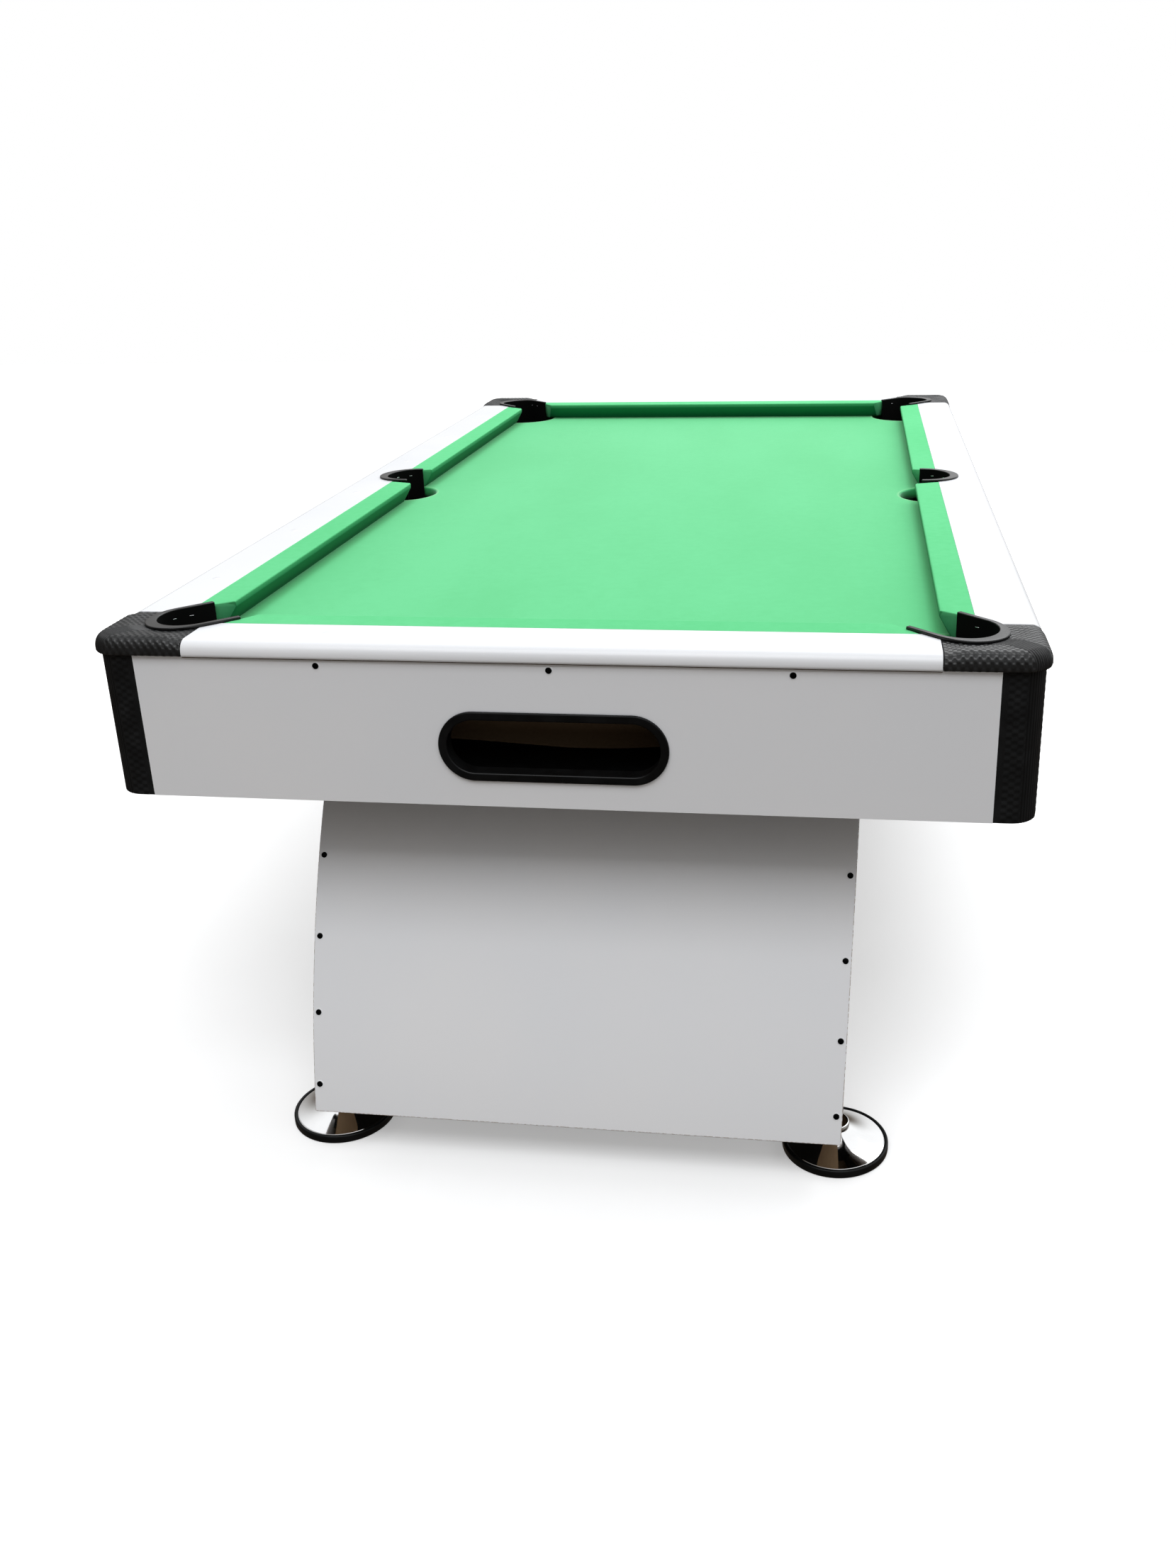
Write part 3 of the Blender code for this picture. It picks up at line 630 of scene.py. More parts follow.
def makeRails():
    rooms = {name: linerRoom(name) for name in pockets}
    section = railSection()
    radius, rise = rail["plug"]
    plug = [(0.0, 0.0), (radius, 0.0), (radius, rise / 4), (radius - 2 * rise, rise * 3 / 4), (0.0, rise)]
    plug = turned("railPlug", plug, rail["plugSteps"])
    back, deep, high = rail["lip"]
    for side, turn in sideTurns.items():
        crosswise = side in ("front", "rear")
        half = rail["endHalf" if crosswise else "sideHalf"] - rail["seam"]
        start = table["noseY" if crosswise else "noseX"] + table["cushion"]
        name = "rail" + side.capitalize()
        mesh = loft(name, [[(x, -start - out, z) for out, z in section] for x in (-half, half)])
        mesh.transform(turnedBy(turn))
        made = piece(name, mesh, whiteLaminate, ["rail_" + side])
        carve(made, [room for spot, room in rooms.items() if side in spot])
        soften(made, rail["edge"])
        # the lip: raw board darkened as painted shadow under the rail
        edge, under = -start - rail["width"] + back, table["railBase"] - rail["lipGap"]
        strip = [(edge, under), (edge + deep, under), (edge + deep, under - high), (edge, under - high)]
        mesh = loft(name + "Lip", [[(x, y, z) for y, z in strip] for x in (-half, half)])
        mesh.transform(turnedBy(turn))
        piece(name + "Lip", mesh, rawEdgeShadow)
        places = []
        for along in rail["plugs"]["end" if crosswise else "side"]:
            spot = (along, -start - rail["plugIn"], table["top"])
            places.append(turnedBy(turn) @ Matrix.Translation(spot))
        piece(name + "Plugs", joined(name + "Plugs", plug, places), whiteLaminate)
    for room in rooms.values():
        bpy.data.objects.remove(room, do_unlink=True)


makeRails()
print("rails made")


# corner caps

cap = {
    "reach": 0.131,
    "round": 0.042,
    "proud": 0.001,
    "sweep": (-37.35, 127.35),  # round the pocket, in degrees
    "pad": (0.0049, 0.0056),  # one square of the weave, along and across
    "padHeight": 0.0008,
    "band": 0.015,  # half width of the ribbed band over the corner
    "bandEdge": 0.0008,
    "rib": 0.0034,
    "ribTop": 0.0010,
    "ribRound": 0.0012,
    "ribFade": (1.1, 0.004),  # they flatten from this turn of the edge to so far in on the top
    "sunk": 0.0010,  # the relief stays inside the plain form
    "under": -0.002,  # where the lower edge starts, in the measure up from the edge's foot
    "plain": (-0.008, -0.005),  # no relief below, in the same measure
    # painted shade on the plain band below the relief
    "plainShade": 0.8,
    "padShade": 0.65,  # painted shade in the hollows of the weave
    "ribShade": (0.7, 1.0),  # painted shade in the grooves, on the top and on the rounded edge
    "softEnd": 0.0009,
    "crown": 0.004,  # how far the top rises towards the corner
    "crownIn": (0.060, 0.085),  # from the pocket's middle
    "crownEnd": (0.004, 0.030),  # from each seam
    "flankSteps": 92,
    "curveSteps": 124,
    "topSteps": 65,
    "roundSteps": 26,
    "underSteps": 8,
}


def weave(along, across, size, crisp=3.0):  # a chequer of raised squares, 0 to 1
    wave = np.sin(math.pi * along / size[0]) * np.sin(math.pi * across / size[1])
    return 0.5 + 0.5 * np.tanh(crisp * wave) / math.tanh(crisp)


def ribbing(across, pitch):
    return 0.5 + 0.5 * np.cos(2 * math.pi * across / pitch)


def cornerWalk(reach, bend, edge, step):  # a place on a corner's outer edge, and the way out of it
    flank, curve = reach - (bend - edge), bend * quarter
    if step <= flank:
        return np.array([edge, -reach + step]), np.array([1.0, 0.0])
    if step >= flank + curve:
        return np.array([edge - bend - (step - flank - curve), edge]), np.array([0.0, 1.0])
    angle = (step - flank) / bend
    way = np.array([math.cos(angle), math.sin(angle)])
    return edge - bend + bend * way, way


def capRing(outline, way, inner):  # points, their normals, and how far each is up from the edge's foot
    big, small = rail["round"], rail["under"]
    top, low = table["top"], table["railBase"]
    lip = outline - big * way  # where the top meets the rounded edge
    rows = []
    for share in np.arange(cap["topSteps"]) / cap["topSteps"]:
        spot = inner + (lip - inner) * share
        rows.append((*spot, top, 0.0, 0.0, 1.0, big * quarter + np.dot(lip - spot, way)))
    for turn in np.linspace(quarter, 0.0, cap["roundSteps"]):
        side, rise = math.cos(turn) * way, math.sin(turn)
        rows.append((*(lip + big * side), top - big + big * rise, *side, rise, big * turn))
    for turn in np.linspace(0.0, -quarter, cap["underSteps"]):
        side, rise = math.cos(turn) * way, math.sin(turn)
        spot = outline - small * way + small * side
        rows.append((*spot, low + small + small * rise, *side, rise, small * turn + cap["under"]))
    rows.append((*inner, low, 0.0, 0.0, -1.0, -1.0))
    rows = np.array(rows)
    return rows[:, :3], rows[:, 3:6], rows[:, 6]


def capRelief(x, y, along, across):  # its height, and its painted shade
    big = rail["round"]
    slant = (x - y) / math.sqrt(2.0)
    band = 1.0 - smooth(np.abs(slant), cap["band"] - cap["bandEdge"], cap["band"] + cap["bandEdge"])
    turn, further = cap["ribFade"]
    over = 1.0 - smooth(across, big * turn, big * quarter + further)  # 1 on the rounded edge
    ribs = ribbing(slant, cap["rib"])
    pads = weave(along, across, cap["pad"])
    ribRise = (cap["ribTop"] + (cap["ribRound"] - cap["ribTop"]) * over) * ribs
    woven = smooth(across, *cap["plain"])
    rise = woven * ((1.0 - band) * cap["padHeight"] * pads + band * ribRise)
    least, most = cap["ribShade"]
    hollowShade = cap["padShade"] * (1.0 - band) * (1.0 - pads)
    hollowShade += band * (1.0 - ribs) * (least + (most - least) * over)
    return rise - cap["sunk"], hollowShade * woven + cap["plainShade"] * (1.0 - woven)


def capMesh():
    edge, reach, bend, soft = cap["proud"], cap["reach"], cap["round"], cap["softEnd"]
    flank, curve = reach - (bend - edge), bend * quarter
    length = 2 * flank + curve
    flat = np.concatenate([[0.0, soft], np.linspace(2 * soft, flank, cap["flankSteps"])])
    bent = flank + np.linspace(0, curve, cap["curveSteps"] + 1)[1:]
    steps = np.concatenate([flat, bent, length - flat[-2::-1]])
    room = pocket["corner"]["bore"] + pocket["wall"] + table["gap"]
    middle = table["noseX"] + pocket["cornerSet"] - table["railX"]  # the same in X and Y
    start, end = map(math.radians, cap["sweep"])
    rings, deep = [], []
    for step in steps:
        outline, way = cornerWalk(reach, bend, edge, step)
        angle = start + (end - start) * step / length
        inner = middle + room * np.array([math.cos(angle), math.sin(angle)])
        points, normals, across = capRing(outline, way, inner)
        x, y = points[:, 0], points[:, 1]
        fromSeam = min(step, length - step)
        lift = smooth(np.hypot(x - middle, y - middle), *cap["crownIn"])
        lift *= smooth(fromSeam, *cap["crownEnd"]) * np.clip(normals[:, 2], 0.0, 1.0)
        points[:, 2] += cap["crown"] * lift
        along = y - outline[1] if step < length / 2 else x - outline[0]
        rise, hollowShade = capRelief(x, y, along + fromSeam, across)
        deep.append(hollowShade)
        if step in (steps[0], steps[-1]):
            rise = rise - soft
        rings.append(points + normals * rise[:, None])
    return loft("cornerCap", rings, sharp=50.0, marks={"deep": deep})


def makeCaps():
    mesh = capMesh()
    for corner, (wayX, wayY, turn) in corners.items():
        where = turnedBy(turn, (wayX * table["railX"], wayY * table["railY"], 0.0))
        stands = ["corner_cap_" + corner]
        piece("cornerCap_" + corner, mesh, capBlack, stands, where=where)


makeCaps()
print("corner caps made")


# corner posts

post = {
    "reach": 0.055,
    "round": 0.035,
    "wall": 0.004,
    "weave": 0.031,  # how far the weave runs in from each edge
    "weaveEdge": 0.0015,
    "margin": (0.006, 0.008),  # plain beside the apron
    "pad": (0.0050, 0.0076),
    "padHeight": 0.0005,
    "padShade": (0.7, 0.35),  # painted shade in the hollows, in the weave and in the margin
    "rib": 0.0040,
    "ribHeight": 0.0006,
    "sunk": 0.0005,
    "softEnd": (0.0006, 0.0018, 0.0004),  # how far the ends draw in, and where they stop below and above
    "steps": 120,
    "levels": 190,
    "inside": 6,  # one point inside for so many outside
}


def postMesh():
    reach, bend = post["reach"], post["round"]
    low, high = table["apronBase"], table["railBase"] - table["gap"]
    length = 2 * (reach - bend) + bend * quarter
    steps = np.linspace(0.0, length, post["steps"])
    spots, ways = map(np.array, zip(*(cornerWalk(reach, bend, 0.0, step) for step in steps)))
    inner = (spots - ways * post["wall"])[:: post["inside"]][::-1]
    fromEdge = np.minimum(steps, length - steps)
    margin = 1.0 - smooth(fromEdge, *post["margin"])
    ribs = ribbing(steps - length / 2, post["rib"])
    ribbed = smooth(fromEdge, post["weave"], post["weave"] + post["weaveEdge"])
    soft, below, above = post["softEnd"]
    dark, marginShade = post["padShade"]
    levels = np.linspace(low + below, high - above, post["levels"])
    rings, deep = [], []
    for z in np.concatenate([[low, low + soft], levels, [high]]):
        woven = weave(np.full_like(steps, z - low), fromEdge, post["pad"]) * (1.0 - margin)
        rise = (1 - ribbed) * post["padHeight"] * woven + ribbed * post["ribHeight"] * ribs - post["sunk"]
        if z in (low, high):
            rise = rise - soft
        ring = np.concatenate([spots + ways * rise[:, None], inner])
        rings.append(np.column_stack([ring, np.full(len(ring), z)]))
        # painted shade in the hollows, full on the hidden inside
        hollowShade = (1 - ribbed) * (1 - woven) * (dark + (marginShade - dark) * margin) + ribbed * (1 - ribs)
        deep.append(np.concatenate([hollowShade, np.ones(len(inner))]))
    return loft("cornerPost", rings, sharp=50.0, marks={"deep": deep})


def makePosts():
    mesh = postMesh()
    for corner, (wayX, wayY, turn) in corners.items():
        where = turnedBy(turn, (wayX * table["apronX"], wayY * table["apronY"], 0.0))
        stands = ["corner_post_" + corner]
        piece("cornerPost_" + corner, mesh, postBlack, stands, where=where)


makePosts()
print("corner posts made")


# pocket liners and their staples


def linerMesh(kind):
    low, seat = table["top"] - pocket["depth"], table["top"] + table["gap"]
    bend, wall = pocket["flangeRound"], pocket["wall"]
    walk = horseshoe(pocket[kind]["bore"], pocket[kind]["arm"], pocket["steps"])
    softEnds = {0: pocket["softEnd"], len(walk) - 1: pocket["softEnd"][::-1]}
    rings, deep = [], []
    for station, ((x, y), (wayX, wayY)) in enumerate(walk):
        bulge = max(wayY, 0.0) ** 2
        flange = pocket["flange"] + pocket["crown"] * bulge
        high = seat + pocket["flangeHeight"] - pocket["crownDrop"] * bulge
        section = [(0.0, low)]
        section += arc((bend, high - bend), bend, math.pi, quarter, pocket["flangeSteps"])
        section += [(flange * 0.5, high - pocket["flangeDish"])]
        section += arc((flange - bend, high - bend), bend, quarter, 0.0, pocket["flangeSteps"])
        section += [(flange, seat), (wall, seat), (wall, low)]
        for shift, shrink in softEnds.get(station, [(0.0, 0.0)]):
            outline = inset(section, shrink)
            rings.append([(x + wayX * out, y + wayY * out + shift, z) for out, z in outline])
            # the 'deep' mark paints shade on the wall inside the pocket and on all below the seat
            deep.append([1.0 if spot < 2 or z <= seat else 0.0 for spot, (_, z) in enumerate(section)])
    return loft("liner_" + kind, rings, sharp=40.0, marks={"deep": deep})


def stapleMesh():
    length, half = pocket["staple"]
    bent, wire = pocket["stapleForm"]
    angles = np.arange(pocket["stapleSides"]) * 2 * math.pi / pocket["stapleSides"]
    rings = []
    for x, rise in pocket["stapleBend"]:
        ring = [(half * math.cos(a), half * (bent * rise + wire * math.sin(a))) for a in angles]
        rings.append([(length / 2 * x, y, z) for y, z in ring])
    return loft("staple", rings)


def staplePlace(bore, degrees):  # on the liner's wall, its wire pointing inwards
    angle = math.radians(degrees)
    x, y = bore * math.sin(angle), bore * math.cos(angle)
    inwards = (-math.sin(angle), -math.cos(angle), 0.0)
    if y < 0:  # on the straight arm
        x, y = math.copysign(bore, x), -bore * math.radians(abs(degrees) - 90)
        inwards = (-math.copysign(1.0, x), 0.0, 0.0)
    level = (-inwards[1], inwards[0], 0.0)
    turn = Matrix((level, (0.0, 0.0, 1.0), inwards)).transposed().to_4x4()
    return Matrix.Translation((x, y, pocket["stapleHeight"])) @ turn


def makePockets():
    meshes = {kind: linerMesh(kind) for kind in ("corner", "side")}
    staple = stapleMesh()
    for name, (kind, where) in pockets.items():
        stands = ["pocket_liner_" + name]
        piece("liner_" + name, meshes[kind], satinBlack, stands, where=where)
        facts = pocket[kind]
        places = [where @ staplePlace(facts["bore"], degrees) for degrees in facts["staples"]]
        piece("staples_" + name, joined("staples_" + name, staple, places), zinc)


makePockets()
print("pocket liners made")


# cushions

cushion = {
    "topShares": (0.25, 0.5, 0.75),  # points across the flat top
    "flatEnd": 0.001,  # how far the flats stop short of the upper round
    "edge": 0.003,
    "edgeSteps": 8,
    "nose": 0.010,
    "noseRound": 0.0016,
    "noseSteps": 4,
    "foot": 0.027,
    "footBend": (0.004, 0.0063),  # out and up from the foot
    "cornerJaw": 0.0625,
    "sideJaw": 0.072,
    "cornerFacing": math.radians(53),
    "sideFacing": math.radians(70),
    "backCut": math.radians(10),
    "softEnd": 0.0016,
    "endSteps": 5,
    "spacing": 0.03,  # between rings, of which there are at least so many
    "leastRings": 8,
    "ripple": 0.00012,
    "waves": ((41.0, 1.0, 0.0), (97.0, 0.6, 1.3)),  # of the ripple: pitch, share and start
    "rippleIn": (0.02, 0.04),  # out from the rail
    "shade": (0.0004, 0.003, 0.012),  # how far down from the top the painted shade starts, grows and is full
    "shadeShares": (0.62, 0.38),
    "facingShade": 0.72,  # less so at the ends
}


def cushionSection():
    depth, top, seat = table["cushion"], table["top"], table["bed"] + table["gap"]
    bend, lower, short = cushion["edge"], cushion["noseRound"], cushion["flatEnd"]
    nose = top - cushion["nose"]
    section = [(0.0, seat), (0.0, top)]
    section += [(depth * share, top) for share in cushion["topShares"]] + [(depth - bend - short, top)]
    section += arc((depth - bend, top - bend), bend, quarter, 0.0, cushion["edgeSteps"])
    section += [(depth, top - bend - short), (depth, nose + lower)]
    under = math.atan2(depth - cushion["foot"], nose - seat)
    section += arc((depth - lower, nose + lower), lower, 0.0, -under, cushion["noseSteps"])[1:]
    out, up = cushion["footBend"]
    return np.array(section + [(cushion["foot"] + out, seat + up), (cushion["foot"], seat)])


def cushionRings(section, noseEnds, facings):  # how far along each lies, and how far in
    across, down = table["cushion"] - section[:, 0], table["top"] - section[:, 1]
    ends = []
    for noseEnd, lean, way in zip(noseEnds, facings, (-1, 1)):
        ends.append(noseEnd + way * (across / math.tan(lean) - down * math.tan(cushion["backCut"])))
    first, last = ends
    soft = cushion["softEnd"]
    turns = np.linspace(0.0, quarter, cushion["endSteps"])
    rounds = [(soft * (1 - math.sin(turn)), soft * (1 - math.cos(turn))) for turn in turns]
    rings = [(first + shift, shrink) for shift, shrink in rounds[::-1]]
    count = max(cushion["leastRings"], int((noseEnds[1] - noseEnds[0]) / cushion["spacing"]))
    for share in np.linspace(0.0, 1.0, count)[1:-1]:
        rings.append((first + soft + (last - first - 2 * soft) * share, 0.0))
    return rings + [(last - shift, shrink) for shift, shrink in rounds]


def cushionMesh(name, start, noseEnds, facings):
    section = cushionSection()
    loops = []
    for along, shrink in cushionRings(section, noseEnds, facings):
        outline = inset(section, shrink)
        wave = sum(share * np.sin(along * pitch + begin) for pitch, share, begin in cushion["waves"])
        wave *= cushion["ripple"] * smooth(outline[:, 0], *cushion["rippleIn"])
        out = start + table["cushion"] - table["gap"] - outline[:, 0] + np.abs(wave)
        loops.append(np.column_stack([along, -out, outline[:, 1]]))
    mesh = loft(name, loops, sharp=55.0)
    # painted shade, darker down the nose and undercut, less on the end facings
    down = np.array([table["top"] - vertex.co.z for vertex in mesh.vertices])
    begin, edge, end = cushion["shade"]
    upper, lower = cushion["shadeShares"]
    shade = upper * smooth(down, begin, edge) + lower * smooth(down, edge, end)
    facingPoints = 2 * len(section)
    shade[:facingPoints] *= cushion["facingShade"]
    shade[-facingPoints:] *= cushion["facingShade"]
    store(mesh, "under", shade)
    return mesh


def makeCushions():
    reachX = table["noseX"] - cushion["cornerJaw"]
    reachY = table["noseY"] - cushion["cornerJaw"]
    tight, wide = cushion["cornerFacing"], cushion["sideFacing"]
    plans = {}
    for end in ("front", "rear"):
        plans[end] = (table["noseY"], (-reachX, reachX), (tight, tight), sideTurns[end])
        for side in ("left", "right"):
            ahead = (side == "right") == (end == "rear")
            ends = (cushion["sideJaw"], reachY) if ahead else (-reachY, -cushion["sideJaw"])
            facings = (wide, tight) if ahead else (tight, wide)
            plans[side + "_" + end] = (table["noseX"], ends, facings, sideTurns[side])
    for name, (start, ends, facings, turn) in plans.items():
        mesh = cushionMesh("cushion_" + name, start, ends, facings)
        mesh.transform(turnedBy(turn))
        made = piece("railCushion_" + name, mesh, cushionGreen, ["cushion_" + name])


makeCushions()
print("cushions made")


# bed cloth

bed = {
    "half": (0.5884, 1.0724),
    "round": 0.0154,
    "roundSteps": 6,
    "holes": {  # half width, then back and front in the liner's own frame
        "corner": (0.078, 0.0575, -0.100),
        "side": (0.066, 0.0655, -0.041),
    },
    "holeSteps": 56,
    "inset": 0.0011,
    "fillet": 0.003,
    "filletSteps": 5,
    "rounds": (0.003, 0.009),  # rings of points, out from the fillet
    "lip": 0.0006,
    "wearAndHighlight": 0.5,  # how pale the cut edge is painted, a painted highlight
    "turnStart": 0.006,  # down from the fillet
    "turnDown": 0.0196,
    "grid": 0.026,
    "gridClear": 0.016,  # out from the fillet
    "noseLines": (0.022, 0.011, 0.005, 0.0, -0.012),  # closer lines, in from the noses
    "noseClear": (0.006, 0.026),  # no even line so close to their middle
    "thick": 0.0008,
    "shade": 0.62,  # painted shade beside the cushions
    "shadeIn": (-0.011, 0.004),  # out from the noses
    "shadeDown": (0.001, 0.012),
}


def holeLoop(kind, where, grow):
    wide, back, front = bed["holes"][kind]
    loop = []
    for angle in np.arange(bed["holeSteps"]) * 2 * math.pi / bed["holeSteps"]:
        x = (wide + grow) * math.cos(angle)
        y = (back + front) / 2 + ((back - front) / 2 + grow) * math.sin(angle)
        loop.append((where @ Vector((x, y, 0.0))).xy)
    return np.array(loop)


def within(points, loop):
    tiny = 1e-12  # for a level edge
    inside = np.zeros(len(points), bool)
    x, y = points.T
    for (x0, y0), (x1, y1) in zip(loop, np.roll(loop, -1, 0)):
        crosses = (y0 > y) != (y1 > y)
        inside ^= crosses & (x < (x1 - x0) * (y - y0) / (y1 - y0 + tiny) + x0)
    return inside


def clothOutline():
    bend = bed["round"]
    inX, inY = [half - bend for half in bed["half"]]
    outline = []
    for wayX, wayY, turn in corners.values():
        outline += arc((wayX * inX, wayY * inY), bend, turn, turn + quarter, bed["roundSteps"])
    return np.array(outline)


def clothGrid():
    middle, room = bed["noseClear"]
    lines = []
    for half, nose in zip(bed["half"], (table["noseX"], table["noseY"])):
        even = np.linspace(-half, half, int(2 * half / bed["grid"]))[1:-1]
        even = even[np.abs(np.abs(even) - nose + middle) > room]
        close = [way * (nose - back) for way in (-1, 1) for back in bed["noseLines"]]
        lines.append(np.sort(np.concatenate([even, close])))
    grid = np.array([(x, y) for y in lines[1] for x in lines[0]])
    keep = np.ones(len(grid), bool)
    for kind, where in pockets.values():
        keep &= ~within(grid, holeLoop(kind, where, bed["fillet"] + bed["gridClear"]))
    return grid[keep]


def flatCloth():  # points, faces and the edge of each hole
    outline = clothOutline()
    grows = [bed["fillet"] + out for out in (-bed["inset"], *bed["rounds"])]
    rounds = [[holeLoop(kind, where, grow) for grow in grows] for kind, where in pockets.values()]
    points, edges = [], []
    for loop in [outline] + [loop for loops in rounds for loop in loops]:
        start, count = len(points), len(loop)
        points += [Vector(point) for point in loop]
        edges += [(start + here, start + (here + 1) % count) for here in range(count)]
    points += [Vector(point) for point in clothGrid()]
    spots, _, triangles, _, _, _ = delaunay_2d_cdt(points, edges, [], 0, 1e-7)
    spots = np.array([tuple(spot) for spot in spots])
    middles = np.array([spots[list(face)].mean(0) for face in triangles])
    holes = [loops[0] for loops in rounds]
    keep = within(middles, outline)
    for hole in holes:
        keep &= ~within(middles, hole)
    return spots, [tuple(face) for face, kept in zip(triangles, keep) if kept], holes


def clothShape():  # its points and faces, with the edges turned down into the holes, and where the cut edge gets a painted highlight
    spots, faces, holes = flatCloth()
    level, fillet, back = table["bed"], bed["fillet"], -bed["inset"]
    turns = np.linspace(0.0, quarter, bed["filletSteps"] + 1)[1:]
    downs = [(fillet * (1 - math.sin(turn)) + back, fillet * (1 - math.cos(turn))) for turn in turns]
    downs += [(back, fillet + bed["turnStart"]), (back, bed["turnDown"])]
    points = [(x, y, level) for x, y in spots]
    rim = np.zeros(len(spots) + len(holes) * len(downs) * bed["holeSteps"])
    for (kind, where), hole in zip(pockets.values(), holes):
        last = [int(np.argmin(((spots - spot) ** 2).sum(1))) for spot in hole]
        for here, (x, y) in zip(last, hole):  # the cut edge stands a little proud
            points[here] = (x, y, level + bed["lip"])
        # a painted highlight along the cut edge
        rim[last] = bed["wearAndHighlight"]
        for grow, drop in downs:
            ring = [len(points) + here for here in range(bed["holeSteps"])]
            points += [(x, y, level - drop) for x, y in holeLoop(kind, where, grow)]
            faces += zip(last, last[1:] + last[:1], ring[1:] + ring[:1], ring)
            last = ring
    return points, faces, rim


def makeBedCloth():
    points, faces, rim = clothShape()
    mesh = bpy.data.meshes.new("bedCloth")
    mesh.from_pydata(points, [], faces)
    store(mesh, "rim", rim)
    # painted shade: beside the cushions' noses and down in the holes
    places = np.abs(np.array(points))
    near = np.maximum(places[:, 0] - table["noseX"], places[:, 1] - table["noseY"])
    beside = bed["shade"] * smooth(near, *bed["shadeIn"])
    store(mesh, "under", np.maximum(beside, smooth(table["bed"] - places[:, 2], *bed["shadeDown"])))
    shape = bmesh.new()
    shape.from_mesh(mesh)
    bmesh.ops.delete(shape, geom=[v for v in shape.verts if not v.link_faces], context="VERTS")
    bmesh.ops.recalc_face_normals(shape, faces=shape.faces)
    if max(shape.faces, key=lambda face: face.calc_area()).normal.z < 0:
        bmesh.ops.reverse_faces(shape, faces=shape.faces)
    area = sum(face.calc_area() for face in shape.faces)
    shape.to_mesh(mesh)
    shape.free()
    mesh.shade_smooth()
    made = piece("bedCloth", mesh, bedGreen, ["bed_cloth"])
    thick = made.modifiers.new("thickness", "SOLIDIFY")
    thick.thickness = bed["thick"]
    thick.offset = -1.0


makeBedCloth()
print("bed cloth made")


# funnels below the pockets

funnel = {
    "top": 0.7176,  # under the board
    "flange": (0.001, 0.012, 0.0016),  # its edges, out from the hole's, and thickness
    "wall": 0.002,
    "gully": (0.4765, 0.5380),  # what the lower edge keeps between
    "low": {"rear": 0.6945, "side": 0.680},
}


def makeFunnels():
    inside, outside, thick = funnel["flange"]
    left, right = funnel["gully"]
    top, under = funnel["top"], funnel["top"] - thick
    upper = [(inside, top), (outside, top), (outside, under), (inside + funnel["wall"], under)]
    for name, (kind, where) in pockets.items():
        if "front" in name:  # these open straight above the tray
            continue
        low = funnel["low"]["side" if kind == "side" else "rear"]
        way = math.copysign(1.0, where.translation.x)
        rings = [[(x, y, z) for x, y in holeLoop(kind, where, grow)] for grow, z in upper]
        for wall in (funnel["wall"], 0.0):
            loop = holeLoop(kind, where, wall - funnel["wall"])
            across = np.clip(way * loop[:, 0], left - wall, right + wall)
            rings.append([(way * x, y, low) for x, y in zip(across, loop[:, 1])])
        mesh = loft("pocketFunnel_" + name, rings, looped=True, sharp=40.0)
        piece("pocketFunnel_" + name, mesh, trayBlack)


makeFunnels()
print("pocket funnels made")


# screw caps, aprons and the ball return

screw = {
    "radius": 0.0042,
    "rise": 0.0012,
    "sunk": 0.0004,
    "wall": 0.0003,  # upright below the dome
    "domeSteps": 6,
    "steps": 32,
    "collar": (0.0002, 1.32),  # gap to the cap, and outer radius against the cap's
    "collarSunk": 0.0003,
    "collarRise": (0.0001, 0.0004),  # at its edge and on its top
}
apron = {
    "screws": (-0.304, 0.0, 0.304),
    "screwHeight": 0.7415,
    "edge": 0.0008,
    "edgeSteps": 2,
}
bezel = {
    "middle": 0.637,
    "straight": 0.1025,
    "round": 0.0365,
    "rim": 0.011,
    "proud": 0.004,
    "wall": 0.003,
    "deep": 0.019,
    "inner": 0.002,  # where the wall inside starts to turn
    "chamfer": ((0.0, 0.0012), (0.0008, 0.0003), (0.0012, 0.0001), (0.0025, 0.0)),  # out and back
    "flatEnd": 0.0008,  # how far the face stops short of the outer round
    "edge": 0.0018,
    "edgeSteps": 5,
    "steps": 40,
}
stop = {
    "half": 0.40,
    "floor": 0.5985,  # the tray's floor at its middle, and its rise a metre
    "fall": 0.02124,
    "place": -0.998,
    "thick": 0.012,
    "top": 0.648,
    "lip": 0.006,
    "lipLow": 0.0008,
    "lipThick": 0.0013,
    "lipLeft": (-0.05, 0.17),  # where it grows to its full height
    "lipRight": (0.06, 0.17),
    "lipShare": 0.7,  # its height on the right
    "steps": 41,
}


def capProfile():  # a domed screw cap
    radius, sunk, wall = screw["radius"], screw["sunk"], screw["wall"]
    dome = np.linspace(0.0, quarter, screw["domeSteps"] + 1)
    profile = [(0.0, -sunk), (radius, -sunk), (radius, wall)]
    return profile + [(radius * math.cos(a), wall + screw["rise"] * math.sin(a)) for a in dome]


def collarMesh(name):  # the white seat round a screw cap
    gap, share = screw["collar"]
    near, far, low = screw["radius"] + gap, screw["radius"] * share, -screw["collarSunk"]
    edge, top = screw["collarRise"]
    profile = [(near, low), (far, low), (far, edge), (far - top, top), (near, top)]
    angles = np.arange(screw["steps"]) * 2 * math.pi / screw["steps"]
    rings = [[(r * math.cos(a), r * math.sin(a), z) for r, z in profile] for a in angles]
    return loft(name, rings, looped=True)


def placeScrews(name, places):
    caps = joined(name + "Screws", turned(name + "Screw", capProfile(), screw["steps"]), places)
    piece(name + "Screws", caps, trayBlack)
    collars = joined(name + "Collars", collarMesh(name + "Collar"), places)
    piece(name + "Collars", collars, whiteLaminate)


def makeAprons():
    for side in sideTurns:
        soften(repaint("apron_" + side, whiteLaminate), apron["edge"], apron["edgeSteps"])
    spots = [(x, -table["apronY"], apron["screwHeight"]) for x in apron["screws"]]
    placeScrews("apron", [facing(spot, (0, -1, 0)) for spot in spots])


def oblong(grow):
    right, left = (bezel["straight"], bezel["middle"]), (-bezel["straight"], bezel["middle"])
    outline = arc(right, bezel["round"] + grow, -quarter, quarter, bezel["steps"])
    return outline + arc(left, bezel["round"] + grow, quarter, 3 * quarter, bezel["steps"])


